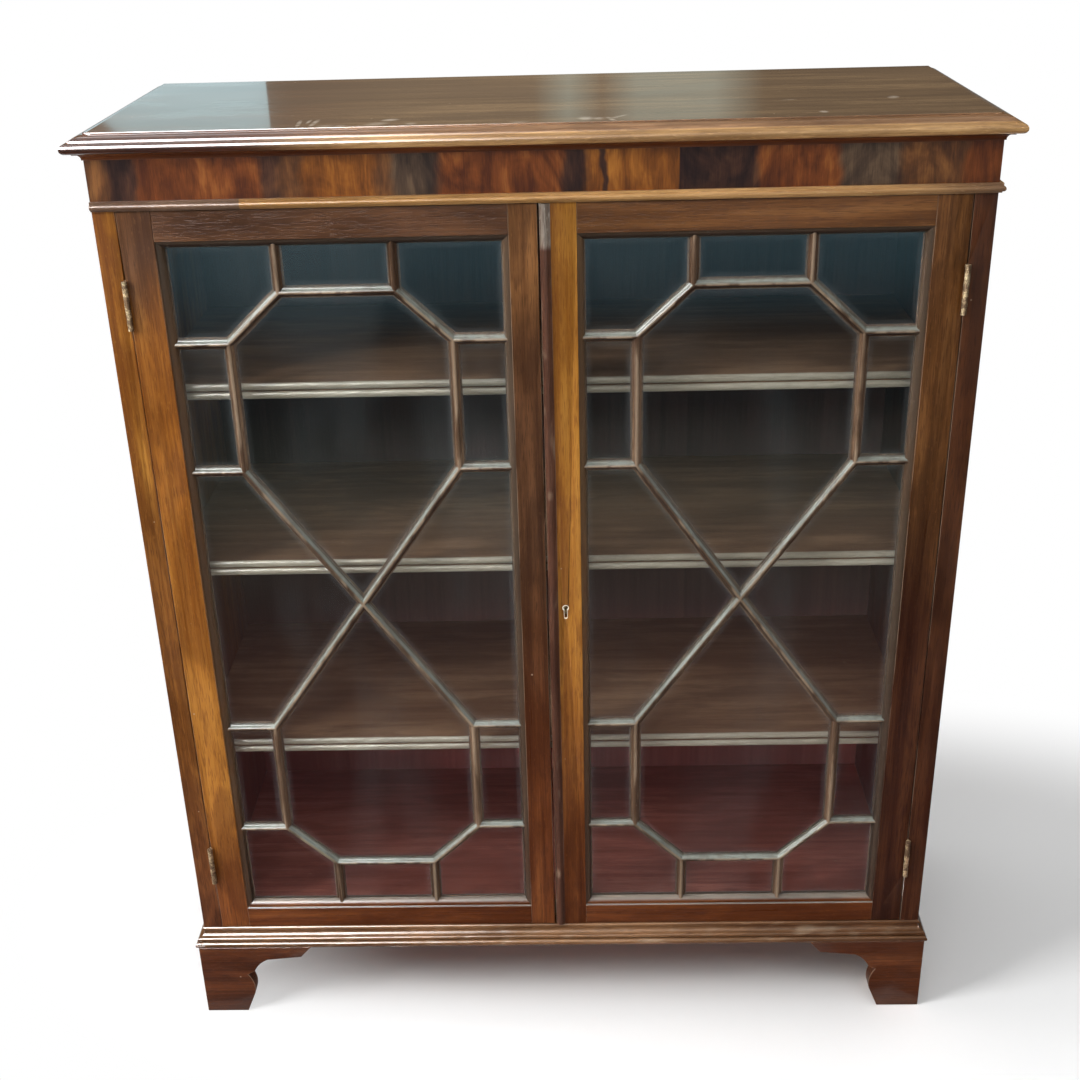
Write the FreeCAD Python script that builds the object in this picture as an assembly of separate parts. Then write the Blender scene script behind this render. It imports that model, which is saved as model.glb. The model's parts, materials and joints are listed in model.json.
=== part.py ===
import FreeCAD, Part
import math
import os

# Bookcase with two glazed doors: a mahogany case on bracket feet, a moulded top over a veneered
# frieze, three loose shelves, and a pair of doors whose astragal bars draw two tall pointed
# octagons joined by a saltire.
#
# Millimetres. X runs to the right, Y from front to back, Z up. The origin is on the floor, under
# the middle of the overall box. Most pieces are set out in the right-hand half and mirrored.

# ---------------------------------------------------------------- case
CASE_W = 1066.0            # over the two gables
CASE_DEPTH = 387.0         # gable edge to the back
CASE_H = 1144.0            # foot of the gables to the underside of the top
GABLE_T = 27.0
FLOOR_BOARD_T = 22.0
SUBTOP_T = 20.0
BACK_BOARD_T = 10.0
BACK_REBATE = 12.0         # how far the back boards lap the gables
BACK_BOARD_COUNT = 5
BACK_BOARD_GAP = 0.6
TONGUE_L = 8.0             # boards housed into the gables
TONGUE_T = 10.0

# ---------------------------------------------------------------- top and frieze
TOP_T = 21.5
TOP_OVERHANG = 20.5
NOSING_R = 6.0
NOSING_SET = 2.5           # quirk between the nosing and the ovolo above it
NOSING_FILLET = 1.5
TOP_MOULD_RUN = 23.3       # nosing tip to the flat of the top
TOP_STEP = 2.2
BED_H = 9.0
BED_OUT = 10.0
BED_FILLET = 1.8
FRIEZE_H = 48.5
FRIEZE_VENEER_T = 3.0
BEAD_H = 11.5              # bead under the frieze
BEAD_FILLET_OUT = 4.2
BEAD_FILLET_H = 3.0
BEAD_TOE = 1.5
BEAD_SPRING = 3.2          # face to the springing of the bead
LOST_RETURN = 25.0         # the left return of the bead starts this far back
STOP_T = 8.0
STOP_H = 36.0
STOP_DROP = 16.0           # how far the stop hangs below the frieze rail
STOP_GAP = 1.0             # between a shut door and what it shuts against

# ---------------------------------------------------------------- base
FOOT_H = 123.0
BASE_MOULD_H = 32.0
BASE_MOULD_BACK = 20.0     # how far the moulding reaches in behind the gable's face
BASE_ROUND_H = 6.0
BASE_ROUND_OUT = 2.0
UPPER_REED_R = 3.5
UPPER_REED_OUT = 9.5
LOWER_REED_R = 4.7
LOWER_REED_OUT = 13.0
BASE_TOE = 1.0             # fillet over the feet
PLINTH_RAIL_W = 40.0
FOOT_PROUD = 10.0          # feet outside the gables
BRACKET_T = 20.0
BRACKET_L = 170.0
BRACKET_END_H = 19.0       # depth of the bracket's wing at its tip
BRACKET_TIP = 17.0
WING_H = 24.0              # depth of the wing where the arch springs
ARCH_FROM = 102.0          # the arch springs this far from the foot's corner
CUSP_FROM = 80.0
CUSP_Z = 77.0
NOTCH = 11.0
NOTCH_DROP = 6.0
LOBE_FROM = 76.0
LOBE_Z = 34.0
LOBE_BULGE = 0.24
FOOT_W = 62.0              # on the floor
BRACE_L = 110.0
BLOCK_W = 40.0
BLOCK_CLEAR = 3.0          # glue blocks stop short of the floor

# ---------------------------------------------------------------- shelves
SHELF_T = 22.0
SHELF_QUIRK = 1.6
SHELF_SETBACK = 8.0        # behind the doors
SHELF_END_GAP = 1.0
LOWER_CLEAR = 267.0
MIDDLE_CLEAR = 262.0
UPPER_CLEAR = 229.0
PEG_R = 4.0
PEG_OUT = 12.0
PEG_IN = 10.0
PEG_INSET = 45.0           # from the shelf's front and back edges

# ---------------------------------------------------------------- doors
DOOR_T = 24.0
DOOR_END_GAP = 1.0         # above and below
DOOR_SIDE_GAP = 1.0        # at the gable
MEETING_GAP = 2.4
MEETING_X = -4.7           # middle of the joint between the doors
CENTRE_FLAT = 81.0         # between the two glazed openings
STILE_W = 41.5             # hanging stile, edge to arris
TOP_RAIL_H = 37.3
BOTTOM_RAIL_H = 33.2
OVOLO_R = 9.0
OVOLO_FILLET = 3.0
GLASS_REBATE = 5.0
TENON_L = 24.0
TENON_T = 8.0
TENON_SHOULDER = 9.0
CLOSING_BEAD_W = 13.0
CLOSING_BEAD_OUT = 4.5
CLOSING_BEAD_FILLET = 1.5
CLOSING_BEAD_STOP = 0.5    # short of the door's ends

# ---------------------------------------------------------------- glazing
BAR_W = 12.0
BAR_BEAD_R = 3.0
BAR_SET = 5.0              # crown of the bar behind the door's face
BAR_QUIRK = 0.8
BAR_EDGE = 0.8
RIB_T = 3.5
RIB_STOP = 2.0             # rib ends this far inside the door's back
GLASS_T = 2.0
GLASS_GAP = 0.3
PUTTY_W = 6.0
PUTTY_H = 7.0
PUTTY_LIP = 0.6
SIDE_LIGHT_W = 72.6        # opening's arris to the octagon
CORNER_RUN = 68.0
CORNER_DROP = 63.6
SIDE_LIGHT_H = 171.2
TOP_LIGHT_H = 67.2
BOTTOM_LIGHT_H = 76.5

# ---------------------------------------------------------------- hinges
HINGE_H = 61.5
UPPER_HINGE_DROP = 114.0   # door top to the hinge's middle
LOWER_HINGE_RISE = 115.0
PIN_OUT = 4.0              # pin's centre in front of the face
PIN_R = 1.5
PIN_CLEARANCE = 0.05
KNUCKLE_R = 3.5
KNUCKLES = 5
KNUCKLE_GAP = 0.2
KNUCKLE_CLEARANCE = 0.4
LEAF_T = 1.5
LEAF_GAP = 0.3             # between the leaves of a shut hinge
LEAF_W = 20.0
SCREWS_PER_LEAF = 3
SCREW_HEAD_R = 3.2
SCREW_R = 1.6
SCREW_L = 15.0
SCREW_SLOT = 0.7

# ---------------------------------------------------------------- lock and bolts
LOCK_RISE = 527.0          # door foot to the keyhole
KEY_BACKSET = 22.5
LOCK_W = 40.0
LOCK_H = 55.0
LOCK_CASE_T = 11.0
LOCK_BOLT_T = 6.0
LOCK_BOLT_H = 20.0
LOCK_BOLT_L = 30.0
LOCK_BOLT_TRAVEL = 9.0
SLIDE_GAP = 0.3            # round anything that slides
BOLT_SHY = 0.5             # a drawn bolt ends this far inside its door
POCKET_SPARE = 2.0
KEYHOLE_R = 4.5
KEYHOLE_SLOT = 5.0
KEYHOLE_H = 21.0
KEYHOLE_WALL = 1.3
KEYHOLE_LINING = 3.0
FLUSH_BOLT = 6.0           # side of the square rod
FLUSH_BOLT_L = 84.0
FLUSH_BOLT_TRAVEL = 10.0
FLUSH_PLATE_T = 1.6
FLUSH_PLATE_W = 11.0
FLUSH_PLATE_L = 92.0
FLUSH_PLATE_INSET = 4.0
STUD_W = 3.4
STUD_L = 7.0
STUD_FROM_END = 52.0

# ---------------------------------------------------------------- levels and faces
QUARTER = math.tan(math.radians(22.5))     # bulge of a quarter circle
HALF = math.tan(math.radians(45))          # bulge of a half circle
OVERRUN = 1.0                              # how far a cutting tool runs past the piece
REACH = 4000.0
HALF_W = CASE_W / 2
INNER_X = HALF_W - GABLE_T
FACE_Y = (TOP_OVERHANG - CASE_DEPTH) / 2
BACK_Y = FACE_Y + CASE_DEPTH
BACK_BOARD_Y = BACK_Y - BACK_BOARD_T
CASE_Z = FOOT_H + BASE_MOULD_H
CASE_TOP_Z = CASE_Z + CASE_H
TOP_Z = CASE_TOP_Z + TOP_T
FRIEZE_TOP_Z = CASE_TOP_Z - BED_H
FRIEZE_Z = FRIEZE_TOP_Z - FRIEZE_H
BEAD_Z = FRIEZE_Z - BEAD_H
FLOOR_Z = CASE_Z + FLOOR_BOARD_T
SUBTOP_Z = CASE_TOP_Z - SUBTOP_T
INNER_FRONT_Y = FACE_Y + DOOR_T + STOP_GAP
SHELF_Y = FACE_Y + DOOR_T + SHELF_SETBACK
LOWER_SHELF_Z = FLOOR_Z + LOWER_CLEAR
MIDDLE_SHELF_Z = LOWER_SHELF_Z + SHELF_T + MIDDLE_CLEAR
UPPER_SHELF_Z = MIDDLE_SHELF_Z + SHELF_T + UPPER_CLEAR

DOOR_Z = CASE_Z + DOOR_END_GAP
DOOR_TOP_Z = BEAD_Z - DOOR_END_GAP
HANGING_X = INNER_X - DOOR_SIDE_GAP
LOCK_EDGE_X = MEETING_X + MEETING_GAP / 2
BOLTED_EDGE_X = MEETING_GAP / 2 - MEETING_X    # left door's edge, in the mirrored half
ARRIS_IN_X = CENTRE_FLAT / 2
ARRIS_OUT_X = HANGING_X - STILE_W
ARRIS_Z = DOOR_Z + BOTTOM_RAIL_H
ARRIS_TOP_Z = DOOR_TOP_Z - TOP_RAIL_H
GLASS_D = OVOLO_FILLET + OVOLO_R
REBATE_D = OVOLO_R - GLASS_REBATE              # arris to the back of the glass rebate
OPENING_X = (ARRIS_IN_X + ARRIS_OUT_X) / 2
MID_DOOR_Y = FACE_Y + DOOR_T / 2
LOCK_Z = DOOR_Z + LOCK_RISE
PIN_X = INNER_X - DOOR_SIDE_GAP / 2
PIN_Y = FACE_Y - PIN_OUT
HINGE_MIDDLES = (DOOR_Z + LOWER_HINGE_RISE, DOOR_TOP_Z - UPPER_HINGE_DROP)

X_AXIS = FreeCAD.Vector(1, 0, 0)
Y_AXIS = FreeCAD.Vector(0, 1, 0)
Z_AXIS = FreeCAD.Vector(0, 0, 1)


# ---------------------------------------------------------------- shaping tools
def box(x0, x1, y0, y1, z0, z1):
    """Block between two corners, given in either order."""
    low = FreeCAD.Vector(min(x0, x1), min(y0, y1), min(z0, z1))
    return Part.makeBox(abs(x1 - x0), abs(y1 - y0), abs(z1 - z0), low)


def cylinder(radius, start, end):
    """Round bar from one point to another."""
    run = end - start
    return Part.makeCylinder(radius, run.Length, start, run)


def path_edges(path, place):
    """Edges round a closed path of (u, v, bulge); a bulge turns the next edge into an arc."""
    edges = []
    for index, (u0, v0, bulge) in enumerate(path):
        u1, v1, _ = path[(index + 1) % len(path)]
        if bulge:
            mid_u = (u0 + u1) / 2 + bulge * (v1 - v0) / 2
            mid_v = (v0 + v1) / 2 - bulge * (u1 - u0) / 2
            edges.append(Part.Arc(place(u0, v0), place(mid_u, mid_v), place(u1, v1)).toShape())
        else:
            edges.append(Part.makeLine(place(u0, v0), place(u1, v1)))
    return edges


def run_section(path, origin, u_axis, v_axis, along):
    """Solid made by running a section along a straight line."""
    def place(u, v):
        return origin + u_axis * u + v_axis * v
    face = Part.Face(Part.Wire(path_edges(path, place)))
    return face.extrude(along)


def plate(points, y0, y1):
    """Upright plate with an (x, z) outline, between two depths."""
    outline = [(x, z, 0) for x, z in points]
    return run_section(outline, Y_AXIS * y0, X_AXIS, Z_AXIS, Y_AXIS * (y1 - y0))


def half_space(point, normal):
    """Block filling the side of a plane that its normal points to."""
    block = Part.makeBox(REACH, REACH, REACH, FreeCAD.Vector(-REACH / 2, -REACH / 2, 0))
    block.Placement = FreeCAD.Placement(point, FreeCAD.Rotation(Z_AXIS, normal))
    return block


def mirrored(shape):
    """The same piece for the left-hand side."""
    return shape.mirror(FreeCAD.Vector(0, 0, 0), X_AXIS)


def both_sides(shape):
    """A right-hand piece with its left-hand twin."""
    return [shape, mirrored(shape)]


# ---------------------------------------------------------------- mouldings round the case
def corner_waste(inside):
    """What a mitre through the right front corner takes off the front or the side piece."""
    towards = FreeCAD.Vector(1, 1, 0) if inside else FreeCAD.Vector(-1, -1, 0)
    return half_space(FreeCAD.Vector(HALF_W, FACE_Y, 0), towards)


def front_moulding(section, out):
    """Length of moulding across the front, mitred at both corners."""
    start = FreeCAD.Vector(-HALF_W - out, FACE_Y, 0)
    strip = run_section(section, start, -Y_AXIS, Z_AXIS, X_AXIS * (CASE_W + 2 * out))
    waste = corner_waste(True)
    return strip.cut(waste).cut(mirrored(waste))


def side_moulding(section, out):
    """Return of a moulding along the right gable."""
    start = FreeCAD.Vector(HALF_W, FACE_Y - out, 0)
    strip = run_section(section, start, X_AXIS, Z_AXIS, Y_AXIS * (CASE_DEPTH + out))
    return strip.cut(corner_waste(False))


def base_section():
    """Low round, cavetto and two reeds over the feet, as (out, height)."""
    lower_reed = FOOT_H + BASE_TOE
    upper_reed = lower_reed + 2 * LOWER_REED_R
    reeds_top = upper_reed + 2 * UPPER_REED_R
    lower_spring = LOWER_REED_OUT - LOWER_REED_R
    upper_spring = UPPER_REED_OUT - UPPER_REED_R
    return [
        (-BASE_MOULD_BACK, FOOT_H, 0),
        (FOOT_PROUD, FOOT_H, 0),
        (FOOT_PROUD, lower_reed, 0),
        (lower_spring, lower_reed, HALF),
        (lower_spring, upper_reed, 0),
        (upper_spring, upper_reed, HALF),
        (upper_spring, reeds_top, -QUARTER),
        (0, CASE_Z - BASE_ROUND_H, 2 * BASE_ROUND_OUT / BASE_ROUND_H),
        (0, CASE_Z, 0),
        (-BASE_MOULD_BACK, CASE_Z, 0),
    ]


def bed_section():
    """Cavetto under the top."""
    return [
        (0, FRIEZE_TOP_Z, 0),
        (BED_FILLET, FRIEZE_TOP_Z, 0),
        (BED_FILLET, FRIEZE_TOP_Z + BED_FILLET, -QUARTER),
        (BED_OUT, CASE_TOP_Z - BED_FILLET, 0),
        (BED_OUT, CASE_TOP_Z, 0),
        (0, CASE_TOP_Z, 0),
    ]


def bead_section():
    """Half round with a fillet over it."""
    spring = BEAD_Z + BEAD_TOE
    fillet_z = FRIEZE_Z - BEAD_FILLET_H
    return [
        (0, BEAD_Z, 0),
        (BEAD_SPRING, BEAD_Z, 0),
        (BEAD_SPRING, spring, HALF),
        (BEAD_SPRING, fillet_z, 0),
        (BEAD_FILLET_OUT, fillet_z, 0),
        (BEAD_FILLET_OUT, FRIEZE_Z, 0),
        (0, FRIEZE_Z, 0),
    ]


def top_edge_prism(origin, inward, along, run):
    """Moulded edge of the top with the board behind it, to a given run."""
    ovolo_z = 2 * NOSING_R + NOSING_FILLET
    section = [
        (NOSING_R, 0, -HALF),
        (NOSING_R, 2 * NOSING_R, 0),
        (NOSING_R + NOSING_SET, 2 * NOSING_R, 0),
        (NOSING_R + NOSING_SET, ovolo_z, -QUARTER / 2),
        (TOP_MOULD_RUN, TOP_T - TOP_STEP, 0),
        (TOP_MOULD_RUN, TOP_T, 0),
        (run, TOP_T, 0),
        (run, 0, 0),
    ]
    return run_section(section, origin, inward, Z_AXIS, along)


def top_board():
    """Moulded on the front and both ends, square at the back."""
    tip_x = HALF_W + TOP_OVERHANG
    tip_y = FACE_Y - TOP_OVERHANG
    width = 2 * tip_x
    depth = CASE_DEPTH + TOP_OVERHANG
    left_tip = FreeCAD.Vector(-tip_x, tip_y, CASE_TOP_Z)
    front = top_edge_prism(left_tip, Y_AXIS, X_AXIS * width, depth)
    left = top_edge_prism(left_tip, X_AXIS, Y_AXIS * depth, width)
    right = mirrored(left)
    return front.common(left).common(right)


def mouldings():
    """Bed moulding, frieze bead and base moulding with their returns."""
    bead = bead_section()
    bead_out = BEAD_SPRING + (FRIEZE_Z - BEAD_FILLET_H - BEAD_Z - BEAD_TOE) / 2
    bead_return = side_moulding(bead, bead_out)
    lost_y = FACE_Y + LOST_RETURN
    lost = half_space(FreeCAD.Vector(0, lost_y, 0), -Y_AXIS)
    square_end = half_space(FreeCAD.Vector(-HALF_W, 0, 0), -X_AXIS)
    return {
        "bed_moulding_front": front_moulding(bed_section(), BED_OUT),
        "bed_moulding_returns": both_sides(side_moulding(bed_section(), BED_OUT)),
        "frieze_bead_front": front_moulding(bead, bead_out).cut(square_end),
        "frieze_bead_returns": [bead_return, mirrored(bead_return).cut(lost)],
        "base_moulding_front": front_moulding(base_section(), LOWER_REED_OUT).cut(bolt_way(DOOR_Z, -1)),
        "base_moulding_right": side_moulding(base_section(), LOWER_REED_OUT),
        "base_moulding_left": mirrored(side_moulding(base_section(), LOWER_REED_OUT)),
    }


# ---------------------------------------------------------------- case
def tongued_board(y0, y1, z0, z1):
    """Board between the gables, with a tongue housed in each."""
    middle = (z0 + z1) / 2
    board = box(-INNER_X, INNER_X, y0, y1, z0, z1)
    reach = INNER_X + TONGUE_L
    tongue = box(-reach, reach, y0, y1, middle - TONGUE_T / 2, middle + TONGUE_T / 2)
    return board.fuse(tongue).removeSplitter()


def floor_board():
    """Bottom of the case; the doors shut against its front edge."""
    return tongued_board(INNER_FRONT_Y, BACK_BOARD_Y, CASE_Z, FLOOR_Z)


def subtop():
    """Carcase top under the moulded top."""
    return tongued_board(INNER_FRONT_Y, BACK_BOARD_Y, SUBTOP_Z, CASE_TOP_Z)


def frieze_veneer():
    """Cross-grained facing of the frieze, over the gables' ends."""
    return box(-HALF_W, HALF_W, FACE_Y, FACE_Y + FRIEZE_VENEER_T, FRIEZE_Z, FRIEZE_TOP_Z)


def frieze_rail():
    """Rail over the doors, housed in the gables, with the veneer let in."""
    rail = tongued_board(FACE_Y, INNER_FRONT_Y, BEAD_Z, CASE_TOP_Z)
    return rail.cut(frieze_veneer()).cut(bolt_way(DOOR_TOP_Z, 1))


def back_boards():
    """Upright boards lying in the gables' rebates."""
    side = INNER_X + BACK_REBATE
    pitch = (2 * side + BACK_BOARD_GAP) / BACK_BOARD_COUNT
    boards = []
    for index in range(BACK_BOARD_COUNT):
        x0 = -side + index * pitch
        x1 = x0 + pitch - BACK_BOARD_GAP
        boards.append(box(x0, x1, BACK_BOARD_Y, BACK_Y, CASE_Z, CASE_TOP_Z))
    return boards


def gable():
    """Right gable, with its housings, rebate, hinge recesses and peg holes."""
    board = box(INNER_X, HALF_W, FACE_Y, BACK_Y, CASE_Z, CASE_TOP_Z)
    rebate = box(INNER_X, INNER_X + BACK_REBATE, BACK_BOARD_Y, BACK_Y, CASE_Z, CASE_TOP_Z)
    cuts = [rebate, frieze_veneer(), floor_board(), subtop(), frieze_rail()]
    cuts += [hinge_recess(middle, case_leaf_x()) for middle in HINGE_MIDDLES]
    cuts += [screw.hole for screw in leaf_screws(True)]
    cuts += [peg_hole(y, z) for y, z in peg_places()]
    return board.cut(cuts)


def door_stop():
    """Strip on the back of the frieze rail."""
    foot = BEAD_Z - STOP_DROP
    return box(-INNER_X, INNER_X, INNER_FRONT_Y, INNER_FRONT_Y + STOP_T, foot, foot + STOP_H)


# ---------------------------------------------------------------- shelves
def shelf(underside):
    """Loose shelf with a double-reeded front edge."""
    reed = (SHELF_T - SHELF_QUIRK) / 4
    depth = BACK_BOARD_Y - SHELF_END_GAP - SHELF_Y
    section = [
        (reed, 0, -HALF),
        (reed, 2 * reed, 0),
        (reed, 2 * reed + SHELF_QUIRK, -HALF),
        (reed, SHELF_T, 0),
        (depth, SHELF_T, 0),
        (depth, 0, 0),
    ]
    reach = INNER_X - SHELF_END_GAP
    start = FreeCAD.Vector(-reach, SHELF_Y, underside)
    return run_section(section, start, Y_AXIS, Z_AXIS, X_AXIS * 2 * reach)


def peg_places():
    """(y, z) of each peg in a gable: front and back under every shelf."""
    front = SHELF_Y + PEG_INSET
    back = BACK_BOARD_Y - PEG_INSET
    places = []
    for underside in (LOWER_SHELF_Z, MIDDLE_SHELF_Z, UPPER_SHELF_Z):
        for y in (front, back):
            places.append((y, underside - PEG_R - PIN_CLEARANCE))
    return places


def peg_hole(y, z):
    """Blind hole for a shelf peg in the right gable."""
    mouth = FreeCAD.Vector(INNER_X, y, z)
    return cylinder(PEG_R + PIN_CLEARANCE, mouth, mouth + X_AXIS * PEG_IN)


def shelf_pegs():
    """Turned pegs that carry the shelves."""
    pegs = []
    for y, z in peg_places():
        start = FreeCAD.Vector(INNER_X - PEG_OUT, y, z)
        pegs += both_sides(cylinder(PEG_R, start, start + X_AXIS * (PEG_OUT + PEG_IN)))
    return pegs


# ---------------------------------------------------------------- base
def plinth_rails():
    """Frame behind the base moulding that the case stands on."""
    side = HALF_W - BASE_MOULD_BACK
    front = FACE_Y + BASE_MOULD_BACK
    inner = side - PLINTH_RAIL_W
    inner_front = front + PLINTH_RAIL_W
    inner_back = BACK_Y - PLINTH_RAIL_W
    rails = [
        box(-side, side, front, inner_front, FOOT_H, CASE_Z),
        box(-side, side, inner_back, BACK_Y, FOOT_H, CASE_Z),
    ]
    return rails + both_sides(box(inner, side, inner_front, inner_back, FOOT_H, CASE_Z))


def bracket_outline():
    """Ogee bracket as (distance from the foot's corner, height)."""
    return [
        (0, 0, 0),
        (FOOT_W, 0, 0),
        (LOBE_FROM, LOBE_Z, LOBE_BULGE),
        (CUSP_FROM - NOTCH, CUSP_Z - NOTCH_DROP, 0),
        (CUSP_FROM, CUSP_Z, -QUARTER / 2),
        (ARCH_FROM, FOOT_H - WING_H, 0),
        (BRACKET_L - BRACKET_TIP, FOOT_H - BRACKET_END_H, 0),
        (BRACKET_L, FOOT_H, 0),
        (0, FOOT_H, 0),
    ]


def front_bracket():
    """Right front bracket, mitred to the side one."""
    corner = FreeCAD.Vector(HALF_W + FOOT_PROUD, FACE_Y - FOOT_PROUD, 0)
    board = run_section(bracket_outline(), corner, -X_AXIS, Z_AXIS, Y_AXIS * BRACKET_T)
    return board.cut(corner_waste(True))


def side_bracket():
    """Bracket returning along the right gable from the front corner."""
    corner = FreeCAD.Vector(HALF_W + FOOT_PROUD, FACE_Y - FOOT_PROUD, 0)
    board = run_section(bracket_outline(), corner, Y_AXIS, Z_AXIS, -X_AXIS * BRACKET_T)
    return board.cut(corner_waste(False))


def rear_bracket():
    """Bracket along the right gable at the back corner."""
    corner = FreeCAD.Vector(HALF_W + FOOT_PROUD, BACK_Y, 0)
    return run_section(bracket_outline(), corner, -Y_AXIS, Z_AXIS, -X_AXIS * BRACKET_T)


def rear_brace():
    """Plain board across the back of the right rear foot."""
    side = HALF_W + FOOT_PROUD - BRACKET_T
    outline = [
        (side, 0),
        (side, FOOT_H),
        (side - BRACE_L, FOOT_H),
        (side - BRACE_L, FOOT_H - BRACKET_END_H),
        (side - BLOCK_W, 0),
    ]
    return plate(outline, BACK_Y - BRACKET_T, BACK_Y)


def foot_blocks():
    """Upright blocks glued in the corners of the four feet."""
    side = HALF_W + FOOT_PROUD - BRACKET_T
    front = FACE_Y - FOOT_PROUD + BRACKET_T
    back = BACK_Y - BRACKET_T
    front_block = box(side - BLOCK_W, side, front, front + BLOCK_W, BLOCK_CLEAR, FOOT_H)
    back_block = box(side - BLOCK_W, side, back - BLOCK_W, back, BLOCK_CLEAR, FOOT_H)
    return both_sides(front_block) + both_sides(back_block)


# ---------------------------------------------------------------- hinges
class Screw:
    """Slotted countersunk screw driven along X, and the hole it makes."""

    def __init__(self, head_x, y, z, towards):
        way = X_AXIS * towards
        face = FreeCAD.Vector(head_x, y, z)
        head_h = SCREW_HEAD_R - SCREW_R
        head = Part.makeCone(SCREW_HEAD_R, SCREW_R, head_h, face, way)
        shank = cylinder(SCREW_R, face, face + way * SCREW_L)
        slot_x = head_x + towards * SCREW_SLOT
        half_slot = SCREW_SLOT / 2
        slot = box(head_x, slot_x, y - SCREW_HEAD_R, y + SCREW_HEAD_R, z - half_slot, z + half_slot)
        self.hole = head.fuse(shank).removeSplitter()
        self.solid = self.hole.cut(slot)


def case_leaf_x():
    """Faces of the leaf on the gable: towards the pin, then the bed of its recess."""
    return (PIN_X + LEAF_GAP / 2, PIN_X + LEAF_GAP / 2 + LEAF_T)


def door_leaf_x():
    """Faces of the leaf on the door's edge."""
    return (PIN_X - LEAF_GAP / 2, PIN_X - LEAF_GAP / 2 - LEAF_T)


def hinge_recess(middle, leaf_x):
    """Bed cut for a leaf."""
    return box(leaf_x[0], leaf_x[1], FACE_Y, FACE_Y + LEAF_W, middle - HINGE_H / 2, middle + HINGE_H / 2)


def leaf_screws(on_case):
    """Screws of the right-hand leaves, staggered across each leaf."""
    leaf_x = case_leaf_x() if on_case else door_leaf_x()
    towards = 1 if on_case else -1
    screws = []
    for middle in HINGE_MIDDLES:
        for index in range(SCREWS_PER_LEAF):
            step = index - (SCREWS_PER_LEAF - 1) / 2
            stagger = LEAF_W / 8 if index % 2 else -LEAF_W / 8
            y = FACE_Y + LEAF_W / 2 + stagger
            z = middle + step * HINGE_H / SCREWS_PER_LEAF
            screws.append(Screw(leaf_x[0], y, z, towards))
    return screws


def hinge_leaf(middle, on_case):
    """One leaf of a right-hand hinge with its knuckles."""
    leaf_x = case_leaf_x() if on_case else door_leaf_x()
    foot = middle - HINGE_H / 2
    pitch = HINGE_H / KNUCKLES
    leaf = box(leaf_x[0], leaf_x[1], PIN_Y, FACE_Y + LEAF_W, foot, foot + HINGE_H)
    for index in range(KNUCKLES):
        low = FreeCAD.Vector(PIN_X, PIN_Y, foot + index * pitch)
        high = low + Z_AXIS * pitch
        if (index % 2 == 0) == on_case:
            trim = Z_AXIS * (KNUCKLE_GAP / 2)
            leaf = leaf.fuse(cylinder(KNUCKLE_R, low + trim, high - trim))
        else:
            leaf = leaf.cut(cylinder(KNUCKLE_R + KNUCKLE_CLEARANCE, low, high))
    below = FreeCAD.Vector(PIN_X, PIN_Y, foot - OVERRUN)
    bore_l = HINGE_H + 2 * OVERRUN
    bore = cylinder(PIN_R + PIN_CLEARANCE, below, below + Z_AXIS * bore_l)
    return leaf.cut(bore).removeSplitter()


def hinge_pins():
    """Pins of the four hinges."""
    pins = []
    for middle in HINGE_MIDDLES:
        foot = FreeCAD.Vector(PIN_X, PIN_Y, middle - HINGE_H / 2)
        pins += both_sides(cylinder(PIN_R, foot, foot + Z_AXIS * HINGE_H))
    return pins


def right_leaves(on_case):
    """Right-hand leaves, drilled for their screws."""
    holes = [screw.hole for screw in leaf_screws(on_case)]
    return [hinge_leaf(middle, on_case).cut(holes) for middle in HINGE_MIDDLES]


# ---------------------------------------------------------------- flush bolts of the left door
def bolt_x():
    """Faces of the square rod, in the mirrored half."""
    near = BOLTED_EDGE_X + FLUSH_PLATE_T + SLIDE_GAP
    return (near, near + FLUSH_BOLT)


def bolt_way(end_z, up):
    """Hole that a bolt of the left door shoots into, past the door's end."""
    near, far = bolt_x()
    half = FLUSH_BOLT / 2 + SLIDE_GAP
    depth = DOOR_END_GAP + FLUSH_BOLT_TRAVEL + POCKET_SPARE
    hole = box(near - SLIDE_GAP, far + SLIDE_GAP, MID_DOOR_Y - half, MID_DOOR_Y + half,
               end_z, end_z + up * depth)
    return mirrored(hole)


def bolt_channel(end_z, up):
    """Groove for a rod in the left meeting stile, with the bed of its plate."""
    near, far = bolt_x()
    half = FLUSH_BOLT / 2 + SLIDE_GAP
    tail = end_z - up * (BOLT_SHY + FLUSH_BOLT_L + SLIDE_GAP)
    groove = box(near - SLIDE_GAP, far + SLIDE_GAP, MID_DOOR_Y - half, MID_DOOR_Y + half, tail, end_z)
    return groove.fuse(bolt_plate_blank(end_z, up))


def bolt_plate_blank(end_z, up):
    """Face plate before its slot is cut."""
    half = FLUSH_PLATE_W / 2
    near_end = end_z - up * FLUSH_PLATE_INSET
    return box(BOLTED_EDGE_X, BOLTED_EDGE_X + FLUSH_PLATE_T, MID_DOOR_Y - half, MID_DOOR_Y + half,
               near_end, near_end - up * FLUSH_PLATE_L)


def bolt_plate(end_z, up):
    """Face plate of a flush bolt, slotted for the thumb stud."""
    stud_end = end_z - up * (BOLT_SHY + STUD_FROM_END)
    half = STUD_W / 2 + SLIDE_GAP
    slot = box(BOLTED_EDGE_X, BOLTED_EDGE_X + FLUSH_PLATE_T, MID_DOOR_Y - half, MID_DOOR_Y + half,
               stud_end + up * (FLUSH_BOLT_TRAVEL + SLIDE_GAP), stud_end - up * (STUD_L + SLIDE_GAP))
    return bolt_plate_blank(end_z, up).cut(slot)


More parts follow.
